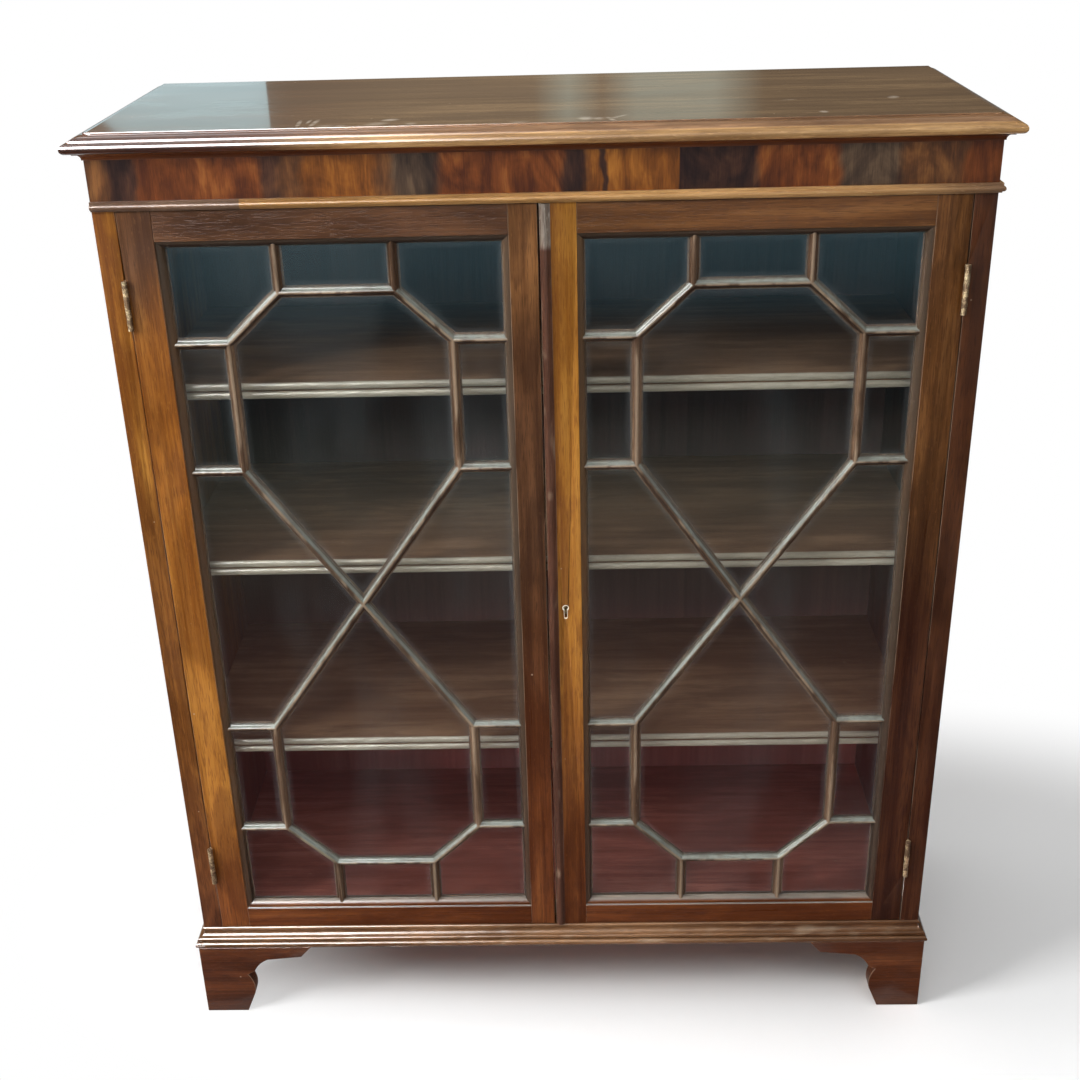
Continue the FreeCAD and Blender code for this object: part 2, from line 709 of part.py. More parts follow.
def flush_bolt(end_z, up):
    """Rod with its thumb stud, drawn back into the door."""
    near, far = bolt_x()
    tip = end_z - up * BOLT_SHY
    half = FLUSH_BOLT / 2
    rod = box(near, far, MID_DOOR_Y - half, MID_DOOR_Y + half, tip, tip - up * FLUSH_BOLT_L)
    stud_end = tip - up * STUD_FROM_END
    stud = box(BOLTED_EDGE_X + BOLT_SHY, near, MID_DOOR_Y - STUD_W / 2, MID_DOOR_Y + STUD_W / 2,
               stud_end, stud_end - up * STUD_L)
    return rod.fuse(stud).removeSplitter()


# ---------------------------------------------------------------- lock of the right door
def lock_depths():
    """Front and back of the lock case, let into the back of the stile."""
    back = FACE_Y + DOOR_T
    return back - LOCK_CASE_T, back


def lock_blank():
    """Outside of the lock case."""
    front, back = lock_depths()
    half = LOCK_H / 2
    return box(LOCK_EDGE_X, LOCK_EDGE_X + LOCK_W, front, back, LOCK_Z - half, LOCK_Z + half)


def lock_bolt_box(length, slack):
    """Space of the lock's bolt, or of its slide with some slack round it."""
    front, back = lock_depths()
    middle = (front + back) / 2
    half_t = LOCK_BOLT_T / 2 + slack
    half_h = LOCK_BOLT_H / 2 + slack
    near = LOCK_EDGE_X + BOLT_SHY
    return box(near, near + length, middle - half_t, middle + half_t, LOCK_Z - half_h, LOCK_Z + half_h)


def lock_case():
    """Case with a slide for the bolt and a keyhole in its front."""
    slide = lock_bolt_box(LOCK_BOLT_L + SLIDE_GAP, SLIDE_GAP)
    mouth = lock_bolt_box(-BOLT_SHY, SLIDE_GAP)
    front, _ = lock_depths()
    key = FreeCAD.Vector(LOCK_EDGE_X + KEY_BACKSET, front, LOCK_Z)
    key_hole = cylinder(KEYHOLE_R - KEYHOLE_WALL, key, key + Y_AXIS * (LOCK_CASE_T / 2))
    return lock_blank().cut([slide, mouth, key_hole])


def lock_pocket():
    """Mortise in the left door's edge that the lock's bolt shoots into."""
    reach = LOCK_BOLT_TRAVEL + POCKET_SPARE
    pocket = lock_bolt_box(-BOLT_SHY - reach, POCKET_SPARE / 2)
    return pocket.cut(half_space(FreeCAD.Vector(-BOLTED_EDGE_X, 0, 0), X_AXIS))


def keyhole(wall, depth):
    """Keyhole-shaped plug from the door's face, with a wall taken off all round."""
    x = LOCK_EDGE_X + KEY_BACKSET
    round_z = LOCK_Z + KEYHOLE_H / 2 - KEYHOLE_R
    slot_half = KEYHOLE_SLOT / 2 - wall / 2
    foot = FreeCAD.Vector(x, FACE_Y, LOCK_Z - KEYHOLE_H / 2 + KEYHOLE_SLOT / 2)
    top = FreeCAD.Vector(x, FACE_Y, round_z)
    plug = cylinder(KEYHOLE_R - wall, top, top + Y_AXIS * depth)
    plug = plug.fuse(box(x - slot_half, x + slot_half, FACE_Y, FACE_Y + depth, foot.z, round_z))
    return plug.fuse(cylinder(slot_half, foot, foot + Y_AXIS * depth)).removeSplitter()


def escutcheon():
    """Brass lining let into the keyhole."""
    return keyhole(0, KEYHOLE_LINING).cut(keyhole(KEYHOLE_WALL, KEYHOLE_LINING))


# ---------------------------------------------------------------- glazing pattern, right-hand half
class Pattern:
    """Points of the bars on a door, which bars join them, and the panes between."""

    def __init__(self):
        out_in = ARRIS_IN_X + SIDE_LIGHT_W
        out_out = ARRIS_OUT_X - SIDE_LIGHT_W
        top = ARRIS_TOP_Z - TOP_LIGHT_H
        foot = ARRIS_Z + BOTTOM_LIGHT_H
        self.columns = {-2: out_in, -1: out_in + CORNER_RUN, 1: out_out - CORNER_RUN, 2: out_out}
        self.rows = {
            3: top,
            2: top - CORNER_DROP,
            1: top - CORNER_DROP - SIDE_LIGHT_H,
            -1: foot + CORNER_DROP + SIDE_LIGHT_H,
            -2: foot + CORNER_DROP,
            -3: foot,
        }
        self.crossing = (OPENING_X, (self.rows[1] + self.rows[-1]) / 2)

    def at(self, column, row):
        """Where a column meets a row."""
        return (self.columns[column], self.rows[row])

    def bars(self, edges):
        """(start, end) of every bar; edges are the x and z where bars run into the frame."""
        near, far, foot, top = edges
        lines = []
        for up, end in ((1, top), (-1, foot)):
            lines.append((self.at(-1, 3 * up), self.at(1, 3 * up)))
            for side, wall in ((-1, near), (1, far)):
                inner = self.at(side, 3 * up)
                outer = self.at(2 * side, 2 * up)
                waist = self.at(2 * side, up)
                lines.append((inner, (inner[0], end)))
                lines.append((inner, outer))
                lines.append((outer, (wall, outer[1])))
                lines.append((outer, waist))
                lines.append((waist, (wall, waist[1])))
                lines.append((waist, self.crossing))
        return lines

    def panes(self, edges):
        """Corners of each pane, on the bars' middle lines and the given frame lines."""
        near, far, foot, top = edges
        shapes = []
        for up, end in ((1, top), (-1, foot)):
            left_in, right_in = self.at(-1, 3 * up), self.at(1, 3 * up)
            left_out, right_out = self.at(-2, 2 * up), self.at(2, 2 * up)
            left_waist, right_waist = self.at(-2, up), self.at(2, up)
            shapes.append([left_in, right_in, (right_in[0], end), (left_in[0], end)])
            shapes.append([left_in, right_in, right_out, right_waist, self.crossing, left_waist, left_out])
            for inner, outer, waist, wall in (
                (left_in, left_out, left_waist, near),
                (right_in, right_out, right_waist, far),
            ):
                shapes.append([inner, outer, (wall, outer[1]), (wall, end), (inner[0], end)])
                shapes.append([outer, waist, (wall, waist[1]), (wall, outer[1])])
        for side, wall in ((-2, near), (2, far)):
            upper, lower = self.at(side, 1), self.at(side, -1)
            shapes.append([upper, self.crossing, lower, (wall, lower[1]), (wall, upper[1])])
        return shapes


def inset_outline(points, insets):
    """Move each edge of a convex outline inwards by its own amount."""
    area = sum(a[0] * b[1] - b[0] * a[1] for a, b in zip(points, points[1:] + points[:1]))
    turn = 1 if area > 0 else -1
    lines = []
    for (x0, z0), (x1, z1), inset in zip(points, points[1:] + points[:1], insets):
        length = math.hypot(x1 - x0, z1 - z0)
        dx, dz = (x1 - x0) / length, (z1 - z0) / length
        lines.append((x0 - turn * dz * inset, z0 + turn * dx * inset, dx, dz))
    corners = []
    for (xa, za, dxa, dza), (xb, zb, dxb, dzb) in zip(lines[-1:] + lines[:-1], lines):
        step = ((xb - xa) * dzb - (zb - za) * dxb) / (dxa * dzb - dza * dxb)
        corners.append((xa + step * dxa, za + step * dza))
    return corners


def pane_outline(points, edges, extra):
    """Outline of a pane, clear of the ribs and of the frame, less an extra all round."""
    insets = []
    for (x0, z0), (x1, z1) in zip(points, points[1:] + points[:1]):
        on_frame = (x0 == x1 and x0 in edges[:2]) or (z0 == z1 and z0 in edges[2:])
        insets.append(GLASS_GAP + extra + (0 if on_frame else RIB_T / 2))
    return inset_outline(points, insets)


def frame_lines(inward):
    """x and z of the lines a given distance inside the arrises of the opening."""
    return (ARRIS_IN_X + inward, ARRIS_OUT_X - inward, ARRIS_Z + inward, ARRIS_TOP_Z - inward)


def panes(pattern):
    """Glass of the right-hand door."""
    edges = frame_lines(REBATE_D)
    front = FACE_Y + GLASS_D
    return [plate(pane_outline(points, edges, 0), front, front + GLASS_T)
            for points in pattern.panes(edges)]


def outline_wire(points, y):
    """Closed wire through (x, z) points at one depth."""
    corners = [FreeCAD.Vector(x, y, z) for x, z in points]
    return Part.makePolygon(corners + corners[:1])


def putty(pattern):
    """Bevelled putty round the back of each pane."""
    edges = frame_lines(REBATE_D)
    front = FACE_Y + GLASS_D + GLASS_T
    fillets = []
    for points in pattern.panes(edges):
        block = plate(pane_outline(points, edges, 0), front, front + PUTTY_H)
        wide = outline_wire(pane_outline(points, edges, PUTTY_W), front)
        narrow = outline_wire(pane_outline(points, edges, PUTTY_LIP), front + PUTTY_H)
        fillets.append(block.cut(Part.makeLoft([wide, narrow], True, True)))
    return fillets


def bar_section():
    """Astragal with a rib behind it, as (across, depth from the door's face)."""
    spring = BAR_SET + BAR_BEAD_R
    half = BAR_W / 2
    rib = RIB_T / 2
    rib_end = DOOR_T - RIB_STOP
    return [
        (-BAR_BEAD_R, spring, HALF),
        (BAR_BEAD_R, spring, 0),
        (BAR_BEAD_R, spring + BAR_QUIRK, -QUARTER / 2),
        (half, GLASS_D - BAR_EDGE, 0),
        (half, GLASS_D, 0),
        (rib, GLASS_D, 0),
        (rib, rib_end, 0),
        (-rib, rib_end, 0),
        (-rib, GLASS_D, 0),
        (-half, GLASS_D, 0),
        (-half, GLASS_D - BAR_EDGE, -QUARTER / 2),
        (-BAR_BEAD_R, spring + BAR_QUIRK, 0),
    ]


def glazing_bars(pattern, frame):
    """Bars of the right-hand door, mitred to each other and coped over the frame."""
    lines = pattern.bars(frame_lines(0))
    ways = {}
    for start, end in lines:
        run = FreeCAD.Vector(end[0] - start[0], 0, end[1] - start[1]).normalize()
        ways.setdefault(start, []).append(run)
        ways.setdefault(end, []).append(-run)
    bars = []
    for start, end in lines:
        a = FreeCAD.Vector(start[0], FACE_Y, start[1])
        b = FreeCAD.Vector(end[0], FACE_Y, end[1])
        run = (b - a).normalize()
        across = Y_AXIS.cross(run)
        bar = run_section(bar_section(), a - run * BAR_W, across, Y_AXIS, (b - a) + run * 2 * BAR_W)
        for joint, out in ((start, run), (end, -run)):
            place = FreeCAD.Vector(joint[0], 0, joint[1])
            for other in ways[joint]:
                if (other - out).Length > 0.001:
                    bar = bar.cut(half_space(place, other - out))
        if len(ways[end]) == 1:
            bar = bar.cut(half_space(b, run)).cut(frame)
        bars.append(bar)
    return bars


# ---------------------------------------------------------------- door frames, right-hand half
def frame_section(flat):
    """Stile or rail: flat face, fillet, ovolo and glass rebate, as (width, depth)."""
    sight = flat + OVOLO_R
    rebate = flat + REBATE_D
    return [
        (0, 0, 0),
        (flat, 0, 0),
        (flat, OVOLO_FILLET, QUARTER),
        (sight, GLASS_D, 0),
        (rebate, GLASS_D, 0),
        (rebate, DOOR_T, 0),
        (0, DOOR_T, 0),
    ]


def tenons():
    """Tenons of the top and bottom rails, at both ends."""
    y0 = MID_DOOR_Y - TENON_T / 2
    y1 = MID_DOOR_Y + TENON_T / 2
    x0 = ARRIS_IN_X - TENON_L
    x1 = ARRIS_OUT_X + TENON_L
    top = box(x0, x1, y0, y1, ARRIS_TOP_Z, DOOR_TOP_Z - TENON_SHOULDER)
    foot = box(x0, x1, y0, y1, DOOR_Z + TENON_SHOULDER, ARRIS_Z)
    return top, foot


def rail(start_z, up, flat, tenon):
    """Rail between the stiles, with its ovolo mitred into theirs."""
    arris = start_z + up * flat
    over = OVOLO_R + OVERRUN
    sight = arris + up * over
    start = FreeCAD.Vector(ARRIS_IN_X, FACE_Y, start_z)
    length = ARRIS_OUT_X - ARRIS_IN_X
    piece = run_section(frame_section(flat), start, Z_AXIS * up, Y_AXIS, X_AXIS * length)
    for x, inward in ((ARRIS_IN_X, 1), (ARRIS_OUT_X, -1)):
        waste = [(x, arris), (x + inward * over, sight), (x, sight)]
        piece = piece.cut(plate(waste, FACE_Y, FACE_Y + DOOR_T))
    return piece.fuse(tenon).removeSplitter()


def stile(edge_x, inward, flat):
    """Stile the full height of the door, mitred at the ovolo and mortised."""
    arris = edge_x + inward * flat
    over = OVOLO_R + OVERRUN
    sight = arris + inward * over
    start = FreeCAD.Vector(edge_x, FACE_Y, DOOR_Z)
    height = Z_AXIS * (DOOR_TOP_Z - DOOR_Z)
    piece = run_section(frame_section(flat), start, X_AXIS * inward, Y_AXIS, height)
    for corner_z, end_z, way in ((ARRIS_TOP_Z, DOOR_TOP_Z, -1), (ARRIS_Z, DOOR_Z, 1)):
        beyond = end_z - way * OVERRUN
        waste = [(arris, corner_z), (sight, corner_z + way * over), (sight, beyond), (arris, beyond)]
        piece = piece.cut(plate(waste, FACE_Y, FACE_Y + DOOR_T))
    return piece.cut(list(tenons()))


def door_frame(meeting_edge):
    """Stiles and rails of a door in the right-hand half."""
    top_tenon, foot_tenon = tenons()
    hanging = stile(HANGING_X, -1, STILE_W)
    hanging = hanging.cut([hinge_recess(middle, door_leaf_x()) for middle in HINGE_MIDDLES])
    hanging = hanging.cut([screw.hole for screw in leaf_screws(False)])
    return {
        "hanging_stile": hanging,
        "meeting_stile": stile(meeting_edge, 1, ARRIS_IN_X - meeting_edge),
        "top_rail": rail(DOOR_TOP_Z, -1, TOP_RAIL_H, top_tenon),
        "bottom_rail": rail(DOOR_Z, 1, BOTTOM_RAIL_H, foot_tenon),
    }


def door(meeting_edge, stile_cuts):
    """A glazed door in the right-hand half."""
    pieces = door_frame(meeting_edge)
    if stile_cuts:
        pieces["meeting_stile"] = pieces["meeting_stile"].cut(stile_cuts)
    pattern = Pattern()
    pieces["glazing_bars"] = glazing_bars(pattern, list(door_frame(meeting_edge).values()))
    pieces["glass"] = panes(pattern)
    pieces["putty"] = putty(pattern)
    pieces["hinge_leaves"] = right_leaves(False)
    pieces["hinge_screws"] = [screw.solid for screw in leaf_screws(False)]
    return pieces


def closing_bead():
    """Astragal planted on the right door along the joint of the doors."""
    round_w = CLOSING_BEAD_W - 2 * CLOSING_BEAD_FILLET
    crown = CLOSING_BEAD_OUT - CLOSING_BEAD_FILLET
    bulge = crown / (round_w / 2)
    section = [
        (0, 0, 0),
        (CLOSING_BEAD_W, 0, 0),
        (CLOSING_BEAD_W, CLOSING_BEAD_FILLET, 0),
        (CLOSING_BEAD_W - CLOSING_BEAD_FILLET, CLOSING_BEAD_FILLET, bulge),
        (CLOSING_BEAD_FILLET, CLOSING_BEAD_FILLET, 0),
        (0, CLOSING_BEAD_FILLET, 0),
    ]
    foot = DOOR_Z + CLOSING_BEAD_STOP
    length = DOOR_TOP_Z - CLOSING_BEAD_STOP - foot
    start = FreeCAD.Vector(LOCK_EDGE_X, FACE_Y, foot)
    return run_section(section, start, X_AXIS, -Y_AXIS, Z_AXIS * length)


def left_door():
    """The door held by its two flush bolts."""
    ends = ((DOOR_TOP_Z, 1), (DOOR_Z, -1))
    channels = [bolt_channel(end_z, up) for end_z, up in ends]
    pieces = door(BOLTED_EDGE_X, channels + [mirrored(lock_pocket())])
    pieces["bolt_plates"] = [bolt_plate(end_z, up) for end_z, up in ends]
    turned = {}
    for name, shape in pieces.items():
        shapes = shape if isinstance(shape, list) else [shape]
        turned["left_" + name] = [mirrored(one) for one in shapes]
    turned["left_top_bolt"] = mirrored(flush_bolt(*ends[0]))
    turned["left_bottom_bolt"] = mirrored(flush_bolt(*ends[1]))
    return turned


def right_door():
    """The door with the lock and the closing bead."""
    bore = keyhole(KEYHOLE_WALL, DOOR_T - LOCK_CASE_T)
    cuts = [lock_blank(), keyhole(0, KEYHOLE_LINING), bore]
    pieces = {"right_" + name: shape for name, shape in door(LOCK_EDGE_X, cuts).items()}
    pieces["closing_bead"] = closing_bead()
    pieces["lock_case"] = lock_case()
    pieces["lock_bolt"] = lock_bolt_box(LOCK_BOLT_L, 0)
    pieces["escutcheon"] = escutcheon()
    return pieces


# ---------------------------------------------------------------- the whole bookcase
def case_pieces():
    """Everything that stays still."""
    right_gable = gable()
    front, side, rear, brace = front_bracket(), side_bracket(), rear_bracket(), rear_brace()
    case_leaves = [leaf for right in right_leaves(True) for leaf in both_sides(right)]
    case_screws = [one for screw in leaf_screws(True) for one in both_sides(screw.solid)]
    pieces = {
        "gable_right": right_gable,
        "gable_left": mirrored(right_gable),
        "floor_board": floor_board(),
        "subtop": subtop(),
        "top_board": top_board(),
        "frieze_rail": frieze_rail(),
        "frieze_veneer": frieze_veneer(),
        "back_boards": back_boards(),
        "door_stop": door_stop(),
        "shelf_lower": shelf(LOWER_SHELF_Z),
        "shelf_middle": shelf(MIDDLE_SHELF_Z),
        "shelf_upper": shelf(UPPER_SHELF_Z),
        "shelf_pegs": shelf_pegs(),
        "plinth_rails": plinth_rails(),
        "foot_blocks": foot_blocks(),
        "bracket_front_right": front,
        "bracket_front_left": mirrored(front),
        "bracket_side_right": side,
        "bracket_side_left": mirrored(side),
        "bracket_rear_right": rear,
        "bracket_rear_left": mirrored(rear),
        "rear_braces": both_sides(brace),
        "hinge_case_leaves": case_leaves,
        "hinge_case_screws": case_screws,
        "hinge_pins": hinge_pins(),
    }
    pieces.update(mouldings())
    return pieces


def write_part(name, shape):
    """Save a piece, or a group of separate solids, as one STEP file."""
    shapes = shape if isinstance(shape, list) else [shape]
    solids = [solid for one in shapes for solid in one.Solids]
    whole = solids[0] if len(solids) == 1 else Part.makeCompound(solids)
    whole.exportStep(os.path.join("parts", name + ".step"))


def main():
    """Build every piece and write it out."""
    os.makedirs("parts", exist_ok=True)
    pieces = case_pieces()
    pieces.update(left_door())
    pieces.update(right_door())
    for name, shape in pieces.items():
        write_part(name, shape)
    print(len(pieces), "pieces written")


main()
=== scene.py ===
"""Looks of a mahogany bookcase with two glazed doors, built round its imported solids.

Each sub-assembly of the case is a class that shapes its pieces and finishes them, and each finish is
a small frozen dataclass that wires its own material. Metres, X to the right, Y to the back, Z up.
"""
import json
import logging
import math
from collections.abc import Callable, Iterable, Sequence
from dataclasses import dataclass, field, fields
from enum import Enum
from functools import reduce

import bmesh
import bpy
from bmesh.types import BMesh, BMVert
from bpy.types import ID, Material, Mesh, Node, NodeSocket as Socket, NodeTree, Object
from mathutils import Euler, Matrix, Vector, noise

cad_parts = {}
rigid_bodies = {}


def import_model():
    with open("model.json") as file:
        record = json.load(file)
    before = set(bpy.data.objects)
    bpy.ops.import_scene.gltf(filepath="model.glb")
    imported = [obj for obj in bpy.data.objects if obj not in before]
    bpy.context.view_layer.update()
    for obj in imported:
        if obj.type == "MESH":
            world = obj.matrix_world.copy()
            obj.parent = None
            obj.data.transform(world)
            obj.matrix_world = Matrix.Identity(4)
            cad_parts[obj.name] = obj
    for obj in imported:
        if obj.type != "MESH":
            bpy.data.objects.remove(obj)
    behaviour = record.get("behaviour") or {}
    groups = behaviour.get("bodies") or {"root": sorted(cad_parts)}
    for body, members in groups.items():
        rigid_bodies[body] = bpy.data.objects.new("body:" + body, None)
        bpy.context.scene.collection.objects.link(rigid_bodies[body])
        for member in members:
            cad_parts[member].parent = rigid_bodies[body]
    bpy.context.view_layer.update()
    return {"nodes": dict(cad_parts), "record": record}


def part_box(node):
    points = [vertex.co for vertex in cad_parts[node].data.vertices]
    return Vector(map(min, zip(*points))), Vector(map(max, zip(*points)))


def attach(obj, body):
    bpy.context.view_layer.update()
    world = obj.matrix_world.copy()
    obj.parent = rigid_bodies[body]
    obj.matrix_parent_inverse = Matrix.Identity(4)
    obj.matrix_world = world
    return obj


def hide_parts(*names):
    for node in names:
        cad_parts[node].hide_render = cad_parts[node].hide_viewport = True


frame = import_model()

MM = 0.001
EASE = 0.5 * MM
LOG = logging.getLogger("bookcase")

Colour = tuple[float, float, float]
Place = tuple[float, float, float]
Span = tuple[float, float]
Input = Socket | float
Feeds = dict[str | int, object]


# ---------------------------------------------------------------- wiring
class Graph:
    """A node tree being wired, with short calls for the nodes that the finishes share."""

    def __init__(self, tree: NodeTree) -> None:
        """Empty a tree and start wiring it."""
        tree.nodes.clear()
        self.tree = tree

    @classmethod
    def of_material(cls, name: str) -> tuple["Graph", Material]:
        """Make a material with an empty tree.

        Args:
            name: the finish's name.

        Returns:
            The graph and the material it belongs to.
        """
        material = bpy.data.materials.new(name)
        material.use_nodes = True
        return cls(material.node_tree), material

    def feed(self, target: Socket, source: object) -> None:
        """Link a socket to an input, or set the input to a plain value.

        Args:
            target: the input.
            source: a socket, a number, a name, a colour or a vector.
        """
        if isinstance(source, Socket):
            self.tree.links.new(source, target)
        elif isinstance(source, tuple) and target.type == "RGBA":
            target.default_value = (*source, 1.0)
        else:
            target.default_value = source

    def node(self, kind: str, feeds: Feeds | None = None, **settings: object) -> Node:
        """Add a node.

        Args:
            kind: its Blender type.
            feeds: what goes into its inputs, by name or number.
            settings: properties, set before the inputs are fed.

        Returns:
            The node.
        """
        made = self.tree.nodes.new(kind)
        for name, value in settings.items():
            setattr(made, name, value)
        for key, source in (feeds or {}).items():
            self.feed(made.inputs[key], source)
        return made

    def out(self, kind: str, feeds: Feeds | None = None, **settings: object) -> Socket:
        """First output of a node added in the same way."""
        return self.node(kind, feeds, **settings).outputs[0]

    def math(self, operation: str, a: Input, b: Input = 0.0) -> Socket:
        """Result of a sum on two values."""
        return self.out("ShaderNodeMath", {0: a, 1: b}, operation=operation)

    def product(self, *values: Input) -> Socket:
        """Several values multiplied."""
        return reduce(lambda a, b: self.math("MULTIPLY", a, b), values)

    def blend(self, *parts: tuple[Input, float]) -> Socket:
        """Sum of values, each with its weight."""
        return reduce(lambda total, part: self.math("ADD", total, self.product(*part)), parts, 0.0)

    def remap(self, value: Input, low: float, high: float, start: float = 0.0, end: float = 1.0) -> Socket:
        """A value carried smoothly from one range to another, and held at its ends."""
        feeds = dict(enumerate((value, low, high, start, end)))
        return self.out("ShaderNodeMapRange", feeds, interpolation_type="SMOOTHSTEP")

    def mix(self, share: Input, a: object, b: object) -> Socket:
        """Two colours mixed."""
        return self.node("ShaderNodeMix", {"Factor": share, 6: a, 7: b}, data_type="RGBA").outputs[2]

    def ramp(self, value: Input, colours: Sequence[Colour]) -> Socket:
        """A run of colours, evenly spaced along a value from 0 to 1.

        Args:
            value: picks a place in the run.
            colours: the colours.

        Returns:
            The colour at that place.
        """
        made = self.node("ShaderNodeValToRGB", {0: value})
        stops = made.color_ramp.elements
        while len(stops) < len(colours):
            stops.new(0.5)
        for index, colour in enumerate(colours):
            stops[index].position = index / (len(colours) - 1)
            stops[index].color = (*colour, 1.0)
        return made.outputs[0]

    def place(self) -> Socket:
        """Object coordinates."""
        return self.node("ShaderNodeTexCoord").outputs["Object"]

    def parts(self, vector: Socket) -> tuple[Socket, ...]:
        """The three coordinates of a vector."""
        return tuple(self.node("ShaderNodeSeparateXYZ", {0: vector}).outputs)

    def vector(self, *coordinates: Input) -> Socket:
        """A vector from its three coordinates."""
        return self.out("ShaderNodeCombineXYZ", dict(enumerate(coordinates)))

    def mapped(self, vector: Socket, scale: Vector, shift: Vector = Vector(), turn: float = 0.0) -> Socket:
        """A vector scaled, turned about Z and moved."""
        feeds = {"Vector": vector, "Location": shift, "Rotation": Euler((0.0, 0.0, turn)), "Scale": scale}
        return self.out("ShaderNodeMapping", feeds)

    def clouds(self, vector: Socket, scale: float = 1.0, detail: float = 3.0, bend: float = 0.0) -> Socket:
        """Soft noise from 0 to 1."""
        feeds = {"Vector": vector, "Scale": scale, "Detail": detail, "Distortion": bend}
        return self.out("ShaderNodeTexNoise", feeds)

    def specks(self, vector: Socket, scale: float, size: float, share: float) -> Socket:
        """Small scattered spots: 1 inside a spot.

        Args:
            vector: coordinates.
            scale: cells per metre.
            size: a spot's radius as a share of a cell.
            share: share of the cells that have a spot.

        Returns:
            The mask.
        """
        cells = self.node("ShaderNodeTexVoronoi", {"Vector": vector, "Scale": scale}).outputs
        inside = self.remap(cells["Distance"], size * 0.5, size, 1.0, 0.0)
        picked = self.math("GREATER_THAN", self.parts(cells["Color"])[0], 1.0 - share)
        return self.product(inside, picked)

    def attribute(self, name: str) -> Socket:
        """A value painted on the mesh."""
        return self.node("ShaderNodeAttribute", attribute_name=name).outputs["Fac"]

    def upward(self, low: float, high: float) -> Socket:
        """How far a surface faces up, from 0 to 1."""
        normal = self.node("ShaderNodeNewGeometry").outputs["Normal"]
        return self.remap(self.parts(normal)[2], low, high)

    def length(self, vector: Socket) -> Socket:
        """Length of a vector."""
        return self.node("ShaderNodeVectorMath", {0: vector}, operation="LENGTH").outputs["Value"]

    def named(self, name: str, kind: str = "FLOAT") -> Socket:
        """A named attribute, inside a Geometry Nodes tree."""
        return self.node("GeometryNodeInputNamedAttribute", {"Name": name}, data_type=kind).outputs["Attribute"]

    def store(self, geometry: Socket, name: str, value: Input) -> Socket:
        """A geometry with a value stored on its points."""
        feeds = {"Geometry": geometry, "Name": name, "Value": value}
        return self.out("GeometryNodeStoreNamedAttribute", feeds, data_type="FLOAT", domain="POINT")

    def bump(self, height: Socket, depth: float, strength: float = 1.0) -> Socket:
        """A bumped normal; depth is in metres."""
        return self.out("ShaderNodeBump", {"Strength": strength, "Distance": depth, "Height": height})

    def seen(self) -> Socket:
        """1 where the camera looks straight at a surface, or at it through glass."""
        rays = self.node("ShaderNodeLightPath").outputs
        return self.math("MAXIMUM", rays["Is Camera Ray"], rays["Is Transmission Ray"])

    def either(self, share: Input, first: Socket, second: Socket) -> Socket:
        """Two shaders mixed, with the share of the second."""
        return self.out("ShaderNodeMixShader", {0: share, 1: first, 2: second})

    def surface(self, shader: Socket, end: str = "ShaderNodeOutputMaterial") -> None:
        """Make a shader the surface of the material, or of a world."""
        self.node(end, {"Surface": shader})

    def principled(self, **values: object) -> None:
        """Make a Principled surface; each value is named after its socket, with spaces as underscores."""
        feeds = {name.replace("_", " "): value for name, value in values.items()}
        self.surface(self.out("ShaderNodeBsdfPrincipled", feeds))


# ---------------------------------------------------------------- finishes
@dataclass(frozen=True)
class Layer:
    """A noise drawn out along a grain: features per metre across and along it, detail and bend."""

    across: float
    along: float
    detail: float
    bend: float = 0.0


class Grain(Enum):
    """The way a piece's grain runs."""

    ACROSS_CASE = 0
    TO_THE_BACK = 1
    UPRIGHT = 2

    def stretch(self, across: float, along: float) -> Vector:
        """Scale for a pattern, with features per metre across and along the grain."""
        return Vector([along if axis == self.value else across for axis in range(3)])

    def noises(self, g: Graph, place: Socket, layers: Iterable[Layer], shift: Vector = Vector()) -> list[Socket]:
        """Noises drawn out along the grain.

        Args:
            g: the graph.
            place: coordinates.
            layers: one for each noise.
            shift: moves the pattern.

        Returns:
            The noises, in the layers' order.
        """
        return [g.clouds(g.mapped(place, self.stretch(layer.across, layer.along), shift), 1.0, layer.detail, layer.bend)
                for layer in layers]


@dataclass(frozen=True)
class Tone:
    """A timber's colours, from its darkest figure to its lightest."""

    dark: Colour
    mid: Colour
    light: Colour

    @property
    def run(self) -> tuple[Colour, Colour, Colour]:
        """The colours in order."""
        return (self.dark, self.mid, self.light)


